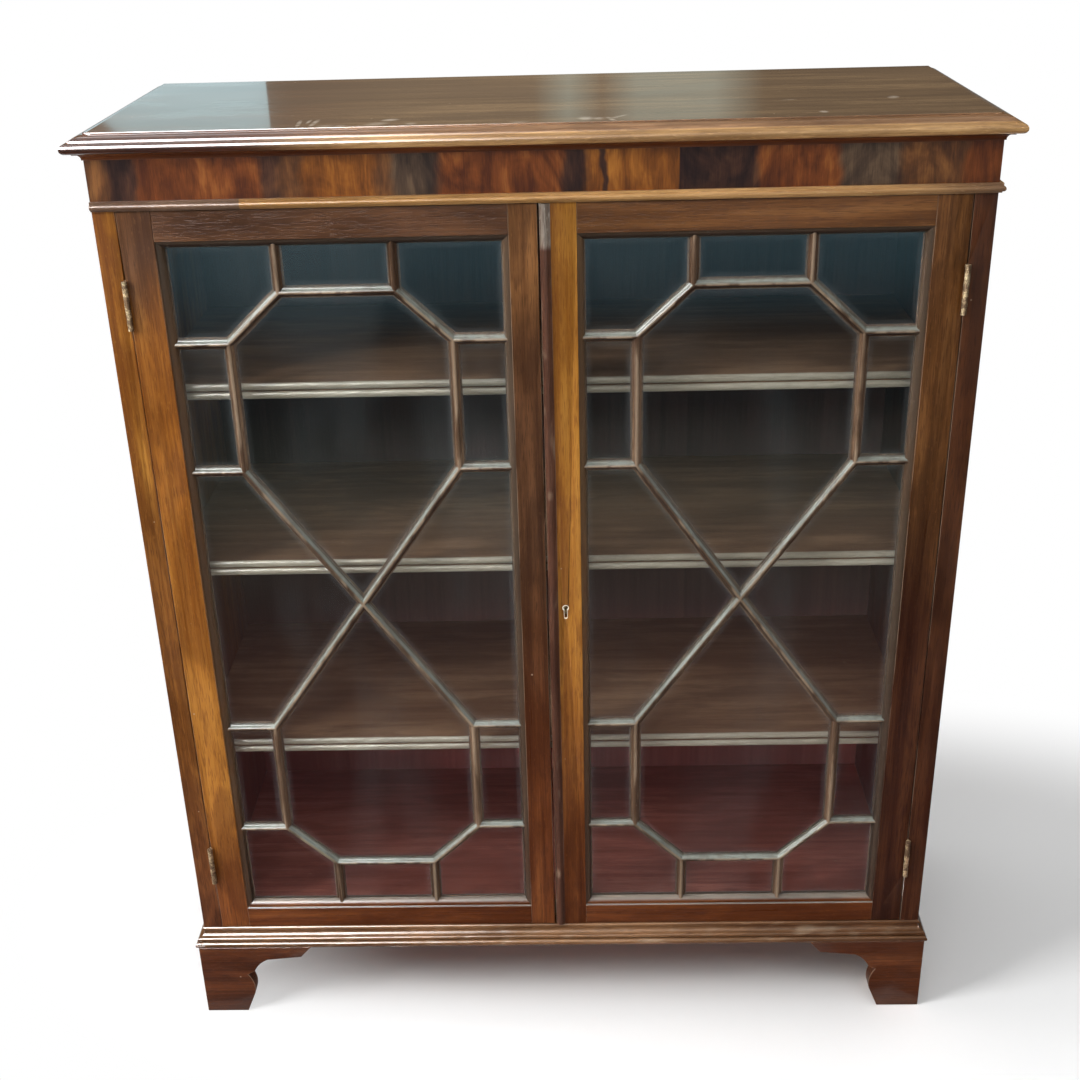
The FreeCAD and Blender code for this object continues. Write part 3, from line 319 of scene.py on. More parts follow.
class Tones:
    """The tones met on this case."""

    GOLDEN = Tone((0.130, 0.038, 0.005), (0.262, 0.096, 0.010), (0.400, 0.178, 0.026))
    HONEY = Tone((0.110, 0.032, 0.004), (0.250, 0.085, 0.008), (0.385, 0.158, 0.022))
    AMBER = Tone((0.072, 0.021, 0.003), (0.172, 0.058, 0.007), (0.280, 0.112, 0.018))
    RUSSET = Tone((0.055, 0.013, 0.003), (0.125, 0.033, 0.006), (0.210, 0.068, 0.014))
    BROWN = Tone((0.042, 0.016, 0.006), (0.098, 0.040, 0.014), (0.175, 0.079, 0.030))
    COCOA = Tone((0.029, 0.010, 0.003), (0.071, 0.027, 0.009), (0.126, 0.052, 0.019))
    NUT = Tone((0.050, 0.017, 0.004), (0.130, 0.049, 0.012), (0.226, 0.097, 0.028))
    BAR = Tone((0.040, 0.020, 0.010), (0.105, 0.060, 0.034), (0.200, 0.130, 0.080))
    RED = Tone((0.036, 0.009, 0.003), (0.090, 0.025, 0.006), (0.155, 0.050, 0.014))
    FOOT = Tone((0.044, 0.011, 0.003), (0.112, 0.031, 0.008), (0.190, 0.063, 0.018))
    UMBER = Tone((0.017, 0.0045, 0.0018), (0.044, 0.012, 0.0035), (0.080, 0.026, 0.008))
    TOP = Tone((0.048, 0.026, 0.011), (0.112, 0.067, 0.030), (0.200, 0.126, 0.060))
    TOP_EDGE = Tone((0.150, 0.072, 0.022), (0.350, 0.195, 0.070), (0.540, 0.330, 0.140))
    MOULDING = Tone((0.080, 0.036, 0.014), (0.190, 0.092, 0.038), (0.320, 0.175, 0.085))
    PINK = Tone((0.085, 0.045, 0.027), (0.172, 0.104, 0.064), (0.290, 0.192, 0.130))
    PALE_GOLD = Tone((0.190, 0.090, 0.025), (0.390, 0.212, 0.072), (0.560, 0.345, 0.140))
    STRAW = Tone((0.270, 0.140, 0.050), (0.560, 0.330, 0.135), (0.740, 0.500, 0.250))
    GREY_TAN = Tone((0.034, 0.012, 0.006), (0.084, 0.032, 0.016), (0.155, 0.070, 0.040))
    WORN_WHITE = Tone((0.060, 0.034, 0.022), (0.300, 0.245, 0.190), (0.700, 0.660, 0.580))
    SHELF = Tone((0.115, 0.060, 0.034), (0.225, 0.128, 0.074), (0.330, 0.200, 0.120))
    SHELF_RED = Tone((0.200, 0.056, 0.040), (0.370, 0.118, 0.086), (0.500, 0.190, 0.140))
    # Pale cream painted on the shelf fronts as a highlight.
    SHELF_EDGE = Tone((0.235, 0.196, 0.145), (0.378, 0.335, 0.264), (0.510, 0.470, 0.390))
    DEAL = Tone((0.110, 0.056, 0.026), (0.250, 0.145, 0.070), (0.380, 0.240, 0.125))
    STAIN = Tone((0.032, 0.012, 0.010), (0.045, 0.017, 0.014), (0.060, 0.025, 0.020))
    RED_STAIN = Tone((0.235, 0.050, 0.042), (0.280, 0.064, 0.053), (0.325, 0.082, 0.067))
    BEECH = Tone((0.230, 0.130, 0.065), (0.360, 0.220, 0.115), (0.470, 0.310, 0.175))


# Pale grey-green of dust with painted sheen, on faces that look up.
PALE_DUST_AND_SHEEN = (0.162, 0.178, 0.157)
# Dark brown of the painted shade in sunk mouldings.
SUNK_SHADE = (0.055, 0.040, 0.027)
# Near-black of the painted shade under faces that look down.
SHADE_BELOW = (0.012, 0.007, 0.004)
BARE_WOOD = (0.420, 0.320, 0.220)
SCRAPED = (0.560, 0.500, 0.420)


@dataclass(frozen=True)
class Fade:
    """A second tone that takes over below a level, or in front of one."""

    tone: Tone
    below: float
    above: float
    axis: int = 2
    wander: float = 0.24


@dataclass(frozen=True)
class Scuff:
    """A short pale scrape on the top: its middle, its size and its turn."""

    x: float
    y: float
    length: float
    width: float
    turn: float = 0.0


@dataclass(frozen=True)
class Finish:
    """A finish, under its material's name. Each kind of finish wires its own nodes."""

    name: str

    def material(self) -> Material:
        """Make the finish's material.

        Returns:
            The material.
        """
        g, material = Graph.of_material(self.name)
        self.wire(g, g.place())
        return material

    def wire(self, g: Graph, place: Socket) -> None:
        """Wire the finish over object coordinates."""
        raise NotImplementedError


@dataclass(frozen=True)
class Mahogany(Finish):
    """French-polished mahogany.

    Attributes:
        name: the material's name.
        grain: the way the grain runs.
        tone: its colours.
        seed: picks the piece's own grain.
        fades: other tones that take over in parts of the piece.
        spread: how much of the tone's range the grain uses.
        sheen: roughness under the polish.
        gloss: weight of the polish.
        gloss_blur: roughness of the polish.
        dust: how much dust and painted sheen lies on faces that look up.
        rub: how far edges marked as rubbed are worn.
        chips: share of the surface's cells with a chip.
        slope: upward slope where the dust and painted sheen begin.
        bare_crown: share of the dust and painted sheen that is rubbed off crowns.
        soot: how much painted shade darkens faces that look down.
        grime: how much painted shade darkens the mouldings marked as sunk.
        relief: depth of the grain's relief, in metres.
        scuffs: scrapes on a face that looks up.
    """

    grain: Grain
    tone: Tone
    seed: float = 0.0
    fades: tuple[Fade, ...] = ()
    spread: float = 1.0
    sheen: float = 0.36
    gloss: float = 0.16
    gloss_blur: float = 0.12
    dust: float = 0.0
    rub: float = 0.3
    chips: float = 0.02
    slope: float = 0.25
    bare_crown: float = 0.0
    soot: float = 0.0
    grime: float = 0.0
    relief: float = 0.25 * MM
    scuffs: tuple[Scuff, ...] = ()

    # How far a seed moves the pattern, how wide the figure's noise is, and its seven layers.
    SHIFT = (3.7, 1.3, 5.1)
    REACH = 0.16
    LAYERS = (Layer(11, 0.9, 3, 0.5), Layer(75, 1.9, 4, 0.3), Layer(430, 9, 2), Layer(1100, 45, 1),
              Layer(9, 4, 5, 0.6), Layer(620, 110, 2), Layer(34, 7, 3, 0.8))

    def wire(self, g: Graph, place: Socket) -> None:
        """Wire the finish.

        Args:
            g: the graph.
            place: object coordinates.
        """
        shift = Vector([self.seed * step for step in self.SHIFT])
        bands, ribbon, fibre, pores, patina, flecks, mottle = self.grain.noises(g, place, self.LAYERS, shift)
        reach = self.REACH / self.spread
        value = g.remap(g.blend((bands, 0.45), (ribbon, 0.35), (fibre, 0.20)), 0.5 - reach, 0.5 + reach)
        colour = g.ramp(value, self.tone.run)
        dark: Input | Colour = self.tone.dark
        light: Input | Colour = self.tone.light
        for fade in self.fades:
            half = fade.wander / 2
            level = g.blend((g.parts(place)[fade.axis], 1.0), (bands, half), (patina, half))
            share = g.remap(level, fade.below + half, fade.above + half)
            colour = g.mix(share, g.ramp(value, fade.tone.run), colour)
            dark = g.mix(share, fade.tone.dark, dark)
            light = g.mix(share, fade.tone.light, light)
        pore = g.remap(pores, 0.54, 0.66)
        for share in (g.remap(patina, 0.38, 0.54, 0.55, 0.0), g.remap(mottle, 0.38, 0.54, 0.50, 0.0),
                      g.product(pore, 0.60)):
            colour = g.mix(share, colour, dark)
        colour = g.mix(g.remap(flecks, 0.60, 0.74, 0.0, 0.26), colour, light)
        # Painted shade in the mouldings marked as sunk, broken up by mottle.
        if self.grime:
            film = g.product(g.attribute("sunk"), g.remap(mottle, 0.30, 0.55, 0.75, 1.0), self.grime)
            colour = g.mix(film, colour, SUNK_SHADE)
        rubbed = g.attribute("rubbed")
        worn = g.product(g.math("MAXIMUM", rubbed, g.attribute("dented")), g.remap(mottle, 0.40, 0.58), self.rub)
        for share in (worn, g.product(g.specks(place, 70.0, 0.13, self.chips), 0.6)):
            colour = g.mix(share, colour, BARE_WOOD)
        for scuff in self.scuffs:
            colour = g.mix(self.scrape(g, place, fibre, scuff), colour, SCRAPED)
        # Dust and painted sheen: a pale film on faces that look up, thinner on rubbed crowns.
        if self.dust:
            left = g.blend((1.0, 1.0), (rubbed, -self.bare_crown))
            slope = g.upward(self.slope, self.slope + 0.5)
            film = g.product(slope, g.remap(ribbon, 0.30, 0.62, 0.65, 1.0), left, self.dust)
            colour = g.mix(film, colour, PALE_DUST_AND_SHEEN)
        # Painted shade: faces that look down are darkened towards near-black.
        if self.soot:
            colour = g.mix(g.product(g.upward(-0.10, -0.55), self.soot), colour, SHADE_BELOW)
        rough = g.blend((g.remap(patina, 0.35, 0.65), 0.14), (fibre, 0.10), (worn, 0.2))
        height = g.blend((fibre, 0.35), (pore, -0.45), (ribbon, 0.5), (bands, 0.8))
        g.principled(
            Base_Color=colour, Roughness=g.math("ADD", rough, self.sheen - 0.12), Normal=g.bump(height, self.relief),
            Specular_IOR_Level=0.10, Coat_Weight=self.gloss, Coat_Roughness=self.gloss_blur,
        )

    @staticmethod
    def scrape(g: Graph, place: Socket, fibre: Socket, scuff: Scuff) -> Socket:
        """Mask of one scrape.

        Args:
            g: the graph.
            place: object coordinates.
            fibre: fine noise that breaks the scrape up.
            scuff: its place and size.

        Returns:
            A socket that is 1 inside the scrape.
        """
        middle = Matrix.Rotation(-scuff.turn, 3, "Z") @ Vector((scuff.x, scuff.y, 0))
        turned = g.mapped(place, Vector((1, 1, 0)), -middle, -scuff.turn)
        away = g.length(g.mapped(turned, Vector((2 / scuff.length, 2 / scuff.width, 0))))
        return g.product(g.remap(away, 0.20, 1.0, 1.0, 0.0), g.remap(fibre, 0.42, 0.58, 0.10, 1.0), 0.85)


class Figure(Enum):
    """The colours of figured veneer that this frieze was cut from."""

    GOLD = Tone((0.070, 0.019, 0.003), (0.190, 0.060, 0.007), (0.340, 0.130, 0.018))
    RED = Tone((0.048, 0.011, 0.003), (0.135, 0.035, 0.006), (0.245, 0.080, 0.015))
    DARK = Tone((0.012, 0.004, 0.003), (0.038, 0.014, 0.007), (0.092, 0.035, 0.014))
    GREY = Tone((0.022, 0.012, 0.008), (0.058, 0.033, 0.019), (0.115, 0.070, 0.038))
    BROWN = Tone((0.032, 0.011, 0.005), (0.092, 0.034, 0.010), (0.190, 0.076, 0.020))


@dataclass(frozen=True)
class Leaf:
    """One leaf of cross-grained veneer, its colour and how softly it passes into the next."""

    width: float
    figure: Figure
    soft: float = 7 * MM


@dataclass(frozen=True)
class FriezeVeneer(Finish):
    """Figured veneer laid with its grain upright, leaf by leaf, and polished."""

    start: float
    leaves: tuple[Leaf, ...]
    joint: float = 1.5 * MM
    wander: float = 34 * MM

    def wire(self, g: Graph, place: Socket) -> None:
        """Wire the finish.

        Args:
            g: the graph.
            place: object coordinates.
        """
        wander, flame, streak, fibre = (
            g.clouds(g.mapped(place, Vector((across, 1, along))), 1.0, detail, bend)
            for across, along, detail, bend in ((16, 20, 3, 0), (17, 11, 5, 2), (75, 9, 5, 1), (800, 60, 2, 0)))
        straight = g.parts(place)[0]
        bent = g.math("ADD", straight, g.product(g.math("SUBTRACT", wander, 0.5), self.wander))
        value = g.remap(g.blend((flame, 0.56), (streak, 0.28), (fibre, 0.16)), 0.34, 0.70)
        tones = {figure: g.ramp(value, figure.value.run) for figure in {leaf.figure for leaf in self.leaves}}
        colour = tones[self.leaves[0].figure]
        edge = self.start
        for leaf, following in zip(self.leaves, self.leaves[1:]):
            edge += leaf.width
            x = bent if leaf.soft > self.joint else straight
            share = g.remap(x, edge - leaf.soft, edge + leaf.soft)
            colour = g.mix(share, colour, tones[following.figure])
        g.principled(
            Base_Color=colour, Roughness=g.math("ADD", g.product(flame, 0.12), 0.24),
            Normal=g.bump(g.blend((streak, 0.5), (fibre, 0.3)), 0.12 * MM),
            Specular_IOR_Level=0.12, Coat_Weight=0.2, Coat_Roughness=0.08,
        )


@dataclass(frozen=True)
class Deal(Finish):
    """Plain softwood, aged outside and stained red-brown where the case hides it, with painted shade above and painted
    light below on that stain.

    Attributes:
        name: the material's name.
        grain: the way the grain runs.
        board: width of one board along X.
        stained_to: faces in front of this Y are stained; None leaves all bare.
        tone: colours of the bare wood.
    """

    grain: Grain
    board: float = 0.2
    stained_to: float | None = None
    tone: Tone = Tones.DEAL

    LAYERS = (Layer(26, 0.7, 3, 1.1), Layer(190, 3.0, 3, 0.3), Layer(600, 20, 2))
    KNOT = (0.070, 0.030, 0.014)
    DIRT = (0.090, 0.058, 0.036)

    def wire(self, g: Graph, place: Socket) -> None:
        """Wire the finish.

        Args:
            g: the graph.
            place: object coordinates.
        """
        x, y, z = g.parts(place)
        number = g.math("FLOOR", g.math("DIVIDE", x, self.board))
        own = g.node("ShaderNodeTexWhiteNoise", {"W": number}, noise_dimensions="1D").outputs
        board = g.out("ShaderNodeVectorMath", {0: place, 1: own["Color"]}, operation="ADD")
        rings, lines, fibre = self.grain.noises(g, board, self.LAYERS)
        grime = g.clouds(place, 3.5, 4.0, 0.3)
        value = g.remap(g.blend((rings, 0.45), (lines, 0.35), (fibre, 0.15), (own["Value"], 0.12)), 0.36, 0.68)
        knot = g.specks(g.mapped(board, self.grain.stretch(7, 3.2)), 1.0, 0.11, 0.4)
        colour = g.mix(g.product(knot, 0.7), g.ramp(value, self.tone.run), self.KNOT)
        colour = g.mix(g.remap(grime, 0.42, 0.68, 0.0, 0.45), colour, self.DIRT)
        if self.stained_to is not None:
            # Inside, the stain is painted dark above as shade and bright red below as light.
            painted_light_below = g.remap(z, 0.30, 0.52, 1.0, 0.0)
            stain = g.mix(painted_light_below, g.ramp(value, Tones.STAIN.run), g.ramp(value, Tones.RED_STAIN.run))
            colour = g.mix(g.math("LESS_THAN", y, self.stained_to), colour, stain)
        height = g.blend((lines, 0.5), (fibre, 0.5), (rings, 0.4))
        g.principled(Base_Color=colour, Roughness=g.remap(grime, 0.3, 0.7, 0.62, 0.80),
                     Normal=g.bump(height, 0.5 * MM), Specular_IOR_Level=0.25)


@dataclass(frozen=True)
class PaneGlass(Finish):
    """Old clear glass with a blue-grey film along the putty: real dirt, coloured as a painted sky reflection."""

    tint: Colour = (0.965, 0.975, 0.970)
    index: float = 1.48
    # Blue-grey of the film: dirt, tinted as a painted sky reflection.
    film: Colour = (0.50, 0.58, 0.60)

    def wire(self, g: Graph, place: Socket) -> None:
        """Wire the finish.

        Args:
            g: the graph.
            place: object coordinates.
        """
        normal = g.bump(g.clouds(place, 7.0, 1.0), 0.5 * MM, 0.5)
        smear = g.clouds(g.mapped(place, Vector((6, 6, 2.2))), 1.0, 4.0, 0.8)
        film_and_sky_share = g.blend((g.attribute("rim"), 0.13), (g.remap(smear, 0.46, 0.74), 0.014))
        inner = g.node("ShaderNodeNewGeometry").outputs["Backfacing"]
        index = g.blend((1.0, self.index), (inner, 1 / self.index - self.index))
        pane = g.either(g.out("ShaderNodeFresnel", {"IOR": index, "Normal": normal}),
                        g.out("ShaderNodeBsdfTransparent", {"Color": self.tint}),
                        g.out("ShaderNodeBsdfAnisotropic", {"Roughness": 0.03, "Normal": normal}))
        dull = g.out("ShaderNodeBsdfDiffuse", {"Color": self.film})
        g.surface(g.either(g.math("ADD", film_and_sky_share, 0.003), pane, dull))


@dataclass(frozen=True)
class Metal(Finish):
    """A metal with tarnish in patches and rubbed places."""

    bright: Colour
    tarnish: Colour
    cover: float = 0.5
    polish: float = 0.34
    metallic: float = 0.85

    def wire(self, g: Graph, place: Socket) -> None:
        """Wire the finish.

        Args:
            g: the graph.
            place: object coordinates.
        """
        value = g.blend((g.clouds(place, 90.0, 5.0, 0.4), 0.7), (g.clouds(place, 600.0, 3.0), 0.3))
        bare = g.remap(value, self.cover - 0.10, self.cover + 0.12)
        colour = g.mix(bare, self.tarnish, self.bright)
        colour = g.mix(g.product(g.attribute("rubbed"), 0.6), colour, self.bright)
        g.principled(Base_Color=colour, Metallic=self.metallic,
                     Roughness=g.remap(bare, 0.0, 1.0, 0.62, self.polish), Normal=g.bump(value, 0.12 * MM))


@dataclass(frozen=True)
class Putty(Finish):
    """Hard old putty, stained like the wood and cracked."""

    COLOURS = ((0.050, 0.024, 0.013), (0.140, 0.078, 0.042), (0.260, 0.170, 0.100))
    CRACK = (0.030, 0.016, 0.010)

    def wire(self, g: Graph, place: Socket) -> None:
        """Wire the finish.

        Args:
            g: the graph.
            place: object coordinates.
        """
        lumps = g.clouds(place, 160.0, 4.0, 0.3)
        cracks = g.product(g.specks(place, 240.0, 0.3, 0.2), 0.7)
        g.principled(Base_Color=g.mix(cracks, g.ramp(lumps, self.COLOURS), self.CRACK),
                     Roughness=g.remap(lumps, 0.3, 0.7, 0.70, 0.9), Normal=g.bump(lumps, 0.5 * MM),
                     Specular_IOR_Level=0.25)


# ---------------------------------------------------------------- shaping
def add_object(name: str, data: ID) -> Object:
    """Put data in the scene.

    Args:
        name: the new object's name.
        data: its mesh, curve, lamp or camera.

    Returns:
        The object.
    """
    made = bpy.data.objects.new(name, data)
    bpy.context.scene.collection.objects.link(made)
    return made


def islands(mesh: BMesh) -> list[list[BMVert]]:
    """Sort a mesh into its separate parts.

    Args:
        mesh: the mesh.

    Returns:
        The vertices of each part.
    """
    left, found = set(mesh.verts), []
    while left:
        part, edge = [], [left.pop()]
        while edge:
            vert = edge.pop()
            part.append(vert)
            near = {e.other_vert(vert) for e in vert.link_edges} & left
            left -= near
            edge.extend(near)
        found.append(part)
    return found


@dataclass
class Workpiece:
    """A piece shaped from the solid that it stands for, with its arrises eased.

    Attributes:
        node: the solid.
        ease: width of the flat planed on each arris, in metres.
        name: the piece's name.
    """

    node: str
    ease: float = EASE
    name: str = ""
    mesh: BMesh = field(init=False)

    MERGE = 0.002 * MM
    FLAT = math.radians(0.3)
    ARRIS = math.radians(50)
    CREASE = math.radians(32)
    DENT_REACH = 16 * MM
    SHAVED = 0.1 * MM
    ROOM_ALONG = 3.0
    ROOM_BESIDE = 2.5
    LEVEL = 0.999
    FACING = 0.2

    def __post_init__(self) -> None:
        """Take a merged copy of the solid, its flat faces whole."""
        self.name = self.name or f"{self.node}_finished"
        self.mesh = bmesh.new()
        self.mesh.from_mesh(frame["nodes"][self.node].data)
        bmesh.ops.remove_doubles(self.mesh, verts=self.mesh.verts, dist=self.MERGE)
        bmesh.ops.dissolve_limit(self.mesh, angle_limit=self.FLAT, verts=self.mesh.verts, edges=self.mesh.edges)

    def ease_arrises(self) -> None:
        """Plane a small flat on each outer arris with room for it, and mark those flats as rubbed."""
        rubbed = self.mesh.faces.layers.float.new("rubbed")
        sharp = {e for e in self.mesh.edges
                 if e.is_manifold and e.is_convex and e.calc_face_angle(0.0) > self.ARRIS}
        room = [e for e in sharp if e.calc_length() > self.ROOM_ALONG * self.ease and all(
            other in sharp or other.calc_length() > self.ROOM_BESIDE * self.ease
            for v in e.verts for other in v.link_edges)]
        if room:
            made = bmesh.ops.bevel(self.mesh, geom=room, offset=self.ease, offset_type="OFFSET", segments=1,
                                   profile=0.5, affect="EDGES", clamp_overlap=True)
            for face in made["faces"]:
                face[rubbed] = 1.0

    def mark_sunk(self, axis: int, face: float, depth: float) -> None:
        """Mark the moulding between a face and a depth behind it.

        Args:
            axis: 0, 1 or 2.
            face: the face's place on that axis.
            depth: how deep the moulding goes, in metres.
        """
        sunk = self.mesh.faces.layers.float.new("sunk")
        for made in self.mesh.faces:
            depths = [vert.co[axis] - face for vert in made.verts]
            if self.SHAVED < max(depths) < depth and abs(made.normal[axis]) < self.LEVEL:
                made[sunk] = 1.0

    def cut(self, axis: int, at: float) -> None:
        """Cut the mesh's faces where they cross a plane.

        Args:
            axis: 0, 1 or 2.
            at: the plane's place on that axis.
        """
        normal = Vector((0, 0, 0))
        normal[axis] = 1.0
        everything = self.mesh.verts[:] + self.mesh.edges[:] + self.mesh.faces[:]
        bmesh.ops.bisect_plane(self.mesh, geom=everything, plane_co=normal * at, plane_no=normal)

    def slice(self, axis: int, pitch: float) -> None:
        """Cut the mesh across an axis at even steps, so that it can be dented.

        Args:
            axis: 0, 1 or 2.
            pitch: metres between cuts.
        """
        low = min(v.co[axis] for v in self.mesh.verts)
        high = max(v.co[axis] for v in self.mesh.verts)
        for index in range(1, int((high - low) / pitch)):
            self.cut(axis, low + index * pitch)

    def close_gaps(self, gap: float) -> None:
        """Widen boards that stand side by side until they meet, the outermost edges left alone.

        Args:
            gap: the gap between boards, in metres.
        """
        low = min(v.co.x for v in self.mesh.verts)
        high = max(v.co.x for v in self.mesh.verts)
        for board in islands(self.mesh):
            middle = sum(v.co.x for v in board) / len(board)
            for vert in board:
                vert.co.x = min(high, max(low, vert.co.x + math.copysign(gap / 2, vert.co.x - middle)))

    def spans(self, axis: int) -> list[tuple[float, float]]:
        """Measure the separate parts along an axis.

        Args:
            axis: 0, 1 or 2.

        Returns:
            Middle and half width of each, in order.
        """
        found = []
        for part in islands(self.mesh):
            low, high = min(v.co[axis] for v in part), max(v.co[axis] for v in part)
            found.append(((low + high) / 2, (high - low) / 2))
        return sorted(found)

    def shave(self, axis: int, level: float, depth: float) -> None:
        """Plane down the face that lies on a level.

        Args:
            axis: 0, 1 or 2.
            level: the face's place on that axis.
            depth: how much is taken off, in metres.
        """
        for vert in self.mesh.verts:
            if abs(vert.co[axis] - level) < self.SHAVED:
                vert.co[axis] -= depth

    def dent(self, scale: Vector, depth: float, above: float, seed: float, toward: Vector) -> None:
        """Press small dents into the side that faces a given way, and mark them as dented.

        Args:
            scale: dents per metre along each axis.
            depth: deepest dent, in metres.
            above: share of the noise that leaves the surface alone.
            seed: picks the pattern.
            toward: the way that a dented face looks.
        """
        dented = self.mesh.verts.layers.float.new("dented")
        self.mesh.normal_update()
        for vert in self.mesh.verts:
            short = all(edge.calc_length() < self.DENT_REACH for edge in vert.link_edges)
            if short and vert.normal.dot(toward) > self.FACING:
                place = Vector(tuple(a * b for a, b in zip(vert.co, scale))) + Vector((seed, -seed, seed))
                height = (noise.noise(place) * 0.5 + 0.5 - above) / (1 - above)
                if height > 0:
                    vert.co -= vert.normal * depth * min(height, 1.0)
                    vert[dented] = min(height * 2, 1.0)

    def finish(self, body: str, slot: str, material: Material) -> Object:
        """Turn the mesh into the finished piece.

        Args:
            body: the body it rides on.
            slot: the record's material slot; not used.
            material: its finish.

        Returns:
            The piece's object.
        """
        mesh = bpy.data.meshes.new(self.name)
        self.mesh.to_mesh(mesh)
        self.mesh.free()
        mesh.shade_smooth()
        mesh.set_sharp_from_angle(angle=self.CREASE)
        mesh.materials.append(material)
        piece = add_object(self.name, mesh)
        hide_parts(self.node)
        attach(piece, body)
        return piece


def middle(node: str) -> Vector:
    """Middle of a solid's box."""
    low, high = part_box(node)
    return (low + high) / 2


def join_into(piece: Object, added: Object) -> None:
    """Move an object's mesh into a piece as a second material, and remove the object.

    Args:
        piece: the piece that keeps its name.
        added: what it takes in.
    """
    mesh = bmesh.new()
    mesh.from_mesh(piece.data)
    own = len(mesh.faces)
    mesh.from_mesh(added.data)
    mesh.faces.ensure_lookup_table()
    for face in mesh.faces[own:]:
        face.material_index = len(piece.data.materials)
        face.smooth = True
    mesh.to_mesh(piece.data)
    mesh.free()
    piece.data.materials.append(added.data.materials[0])
    LOG.info("%s: took in %s", piece.name, added.name)
    bpy.data.objects.remove(added)


class Shop:
    """Makes each finish once, and knows where every solid belongs."""

    def __init__(self) -> None:
        """Read the bodies and slots from the record."""
        record = frame["record"]
        self.body_of = {node: body for body, nodes in record["behaviour"]["bodies"].items() for node in nodes}
        self.slot_of = {part["node"]: part["material_slot"] for part in record["subparts"]}
        self.made: dict[str, Material] = {}

    def material(self, finish: Finish) -> Material:
        """Find the material of a finish, which is wired on first use.

        Args:
            finish: the finish.

        Returns:
            Its material.
        """
        if finish.name not in self.made:
            self.made[finish.name] = finish.material()
        return self.made[finish.name]

    def complete(self, work: Workpiece, finish: Finish) -> Object:
        """Finish a workpiece on the body of its solid.

        Args:
            work: the workpiece.
            finish: its finish.

        Returns:
            The piece's object.
        """
        piece = work.finish(self.body_of[work.node], self.slot_of[work.node], self.material(finish))
        LOG.info("%s: %d faces, %s", piece.name, len(piece.data.polygons), finish.name)
        return piece

    def plain(self, node: str, finish: Finish, ease: float = EASE) -> Object:
        """Ease a solid's arrises and finish it.

        Args:
            node: the solid.
            finish: its finish.
            ease: width of the flat planed on each arris, in metres.

        Returns:
            The piece's object.
        """
        work = Workpiece(node, ease)
        work.ease_arrises()
        return self.complete(work, finish)

    def stand_in(self, piece: Object, node: str) -> None:
        """Put a grown piece in the place of its solid.

        Args:
            piece: the piece.
            node: the solid.
        """
        piece.data.shade_smooth()
        piece.data.set_sharp_from_angle(angle=Workpiece.CREASE)
        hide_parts(node)
        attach(piece, self.body_of[node])
        LOG.info("%s: %d faces", piece.name, len(piece.data.polygons))

    def keep(self, node: str, finish: Finish) -> None:
        """Finish a solid as it stands.

        Args:
            node: the solid.
            finish: its finish.
        """
        mesh = frame["nodes"][node].data
        mesh.materials.clear()
        mesh.materials.append(self.material(finish))
        LOG.info("%s: kept, %s", node, finish.name)


# ---------------------------------------------------------------- geometry nodes
class Pattern:
    """A Geometry Nodes tree with named inputs, ending in Realize Instances and Set Material."""

    def __init__(self, name: str, inputs: dict[str, str]) -> None:
        """Start the tree.

        Args:
            name: its name.
            inputs: kind of each input after the geometry, by name.
        """
        tree = bpy.data.node_groups.new(name, "GeometryNodeTree")
        for way in ("INPUT", "OUTPUT"):
            tree.interface.new_socket("Geometry", in_out=way, socket_type="NodeSocketGeometry")
        self.ids = {label: tree.interface.new_socket(label, in_out="INPUT", socket_type=f"NodeSocket{kind}").identifier
                    for label, kind in {**inputs, "Finish": "Material"}.items()}
        self.graph = Graph(tree)
        self.inputs = self.graph.node("NodeGroupInput").outputs

    def end(self, geometry: Socket) -> None:
        """Close the tree.

        Args:
            geometry: what it ends with.
        """
        g = self.graph
        real = g.out("GeometryNodeRealizeInstances", {0: geometry})
        dressed = g.out("GeometryNodeSetMaterial", {"Geometry": real, "Material": self.inputs["Finish"]})
        g.node("NodeGroupOutput", {0: dressed})

    def grow(self, name: str, seedlings: Mesh, values: dict[str, object]) -> Object:
        """Run the tree on a mesh and keep the result as a plain mesh.

        Args:
            name: the piece's name.
            seedlings: points or lines that the tree works from.
            values: input values by name.

        Returns:
            The piece's object.
        """
        carrier = add_object(f"{name}_layout", seedlings)
        modifier = carrier.modifiers.new(name, "NODES")
        modifier.node_group = self.graph.tree
        for label, value in values.items():
            modifier[self.ids[label]] = value
        bpy.context.view_layer.update()
        graph = bpy.context.evaluated_depsgraph_get()
        mesh = bpy.data.meshes.new_from_object(carrier.evaluated_get(graph), depsgraph=graph)
        mesh.name = name
        carrier.modifiers.remove(modifier)
        bpy.data.objects.remove(carrier)
        return add_object(name, mesh)


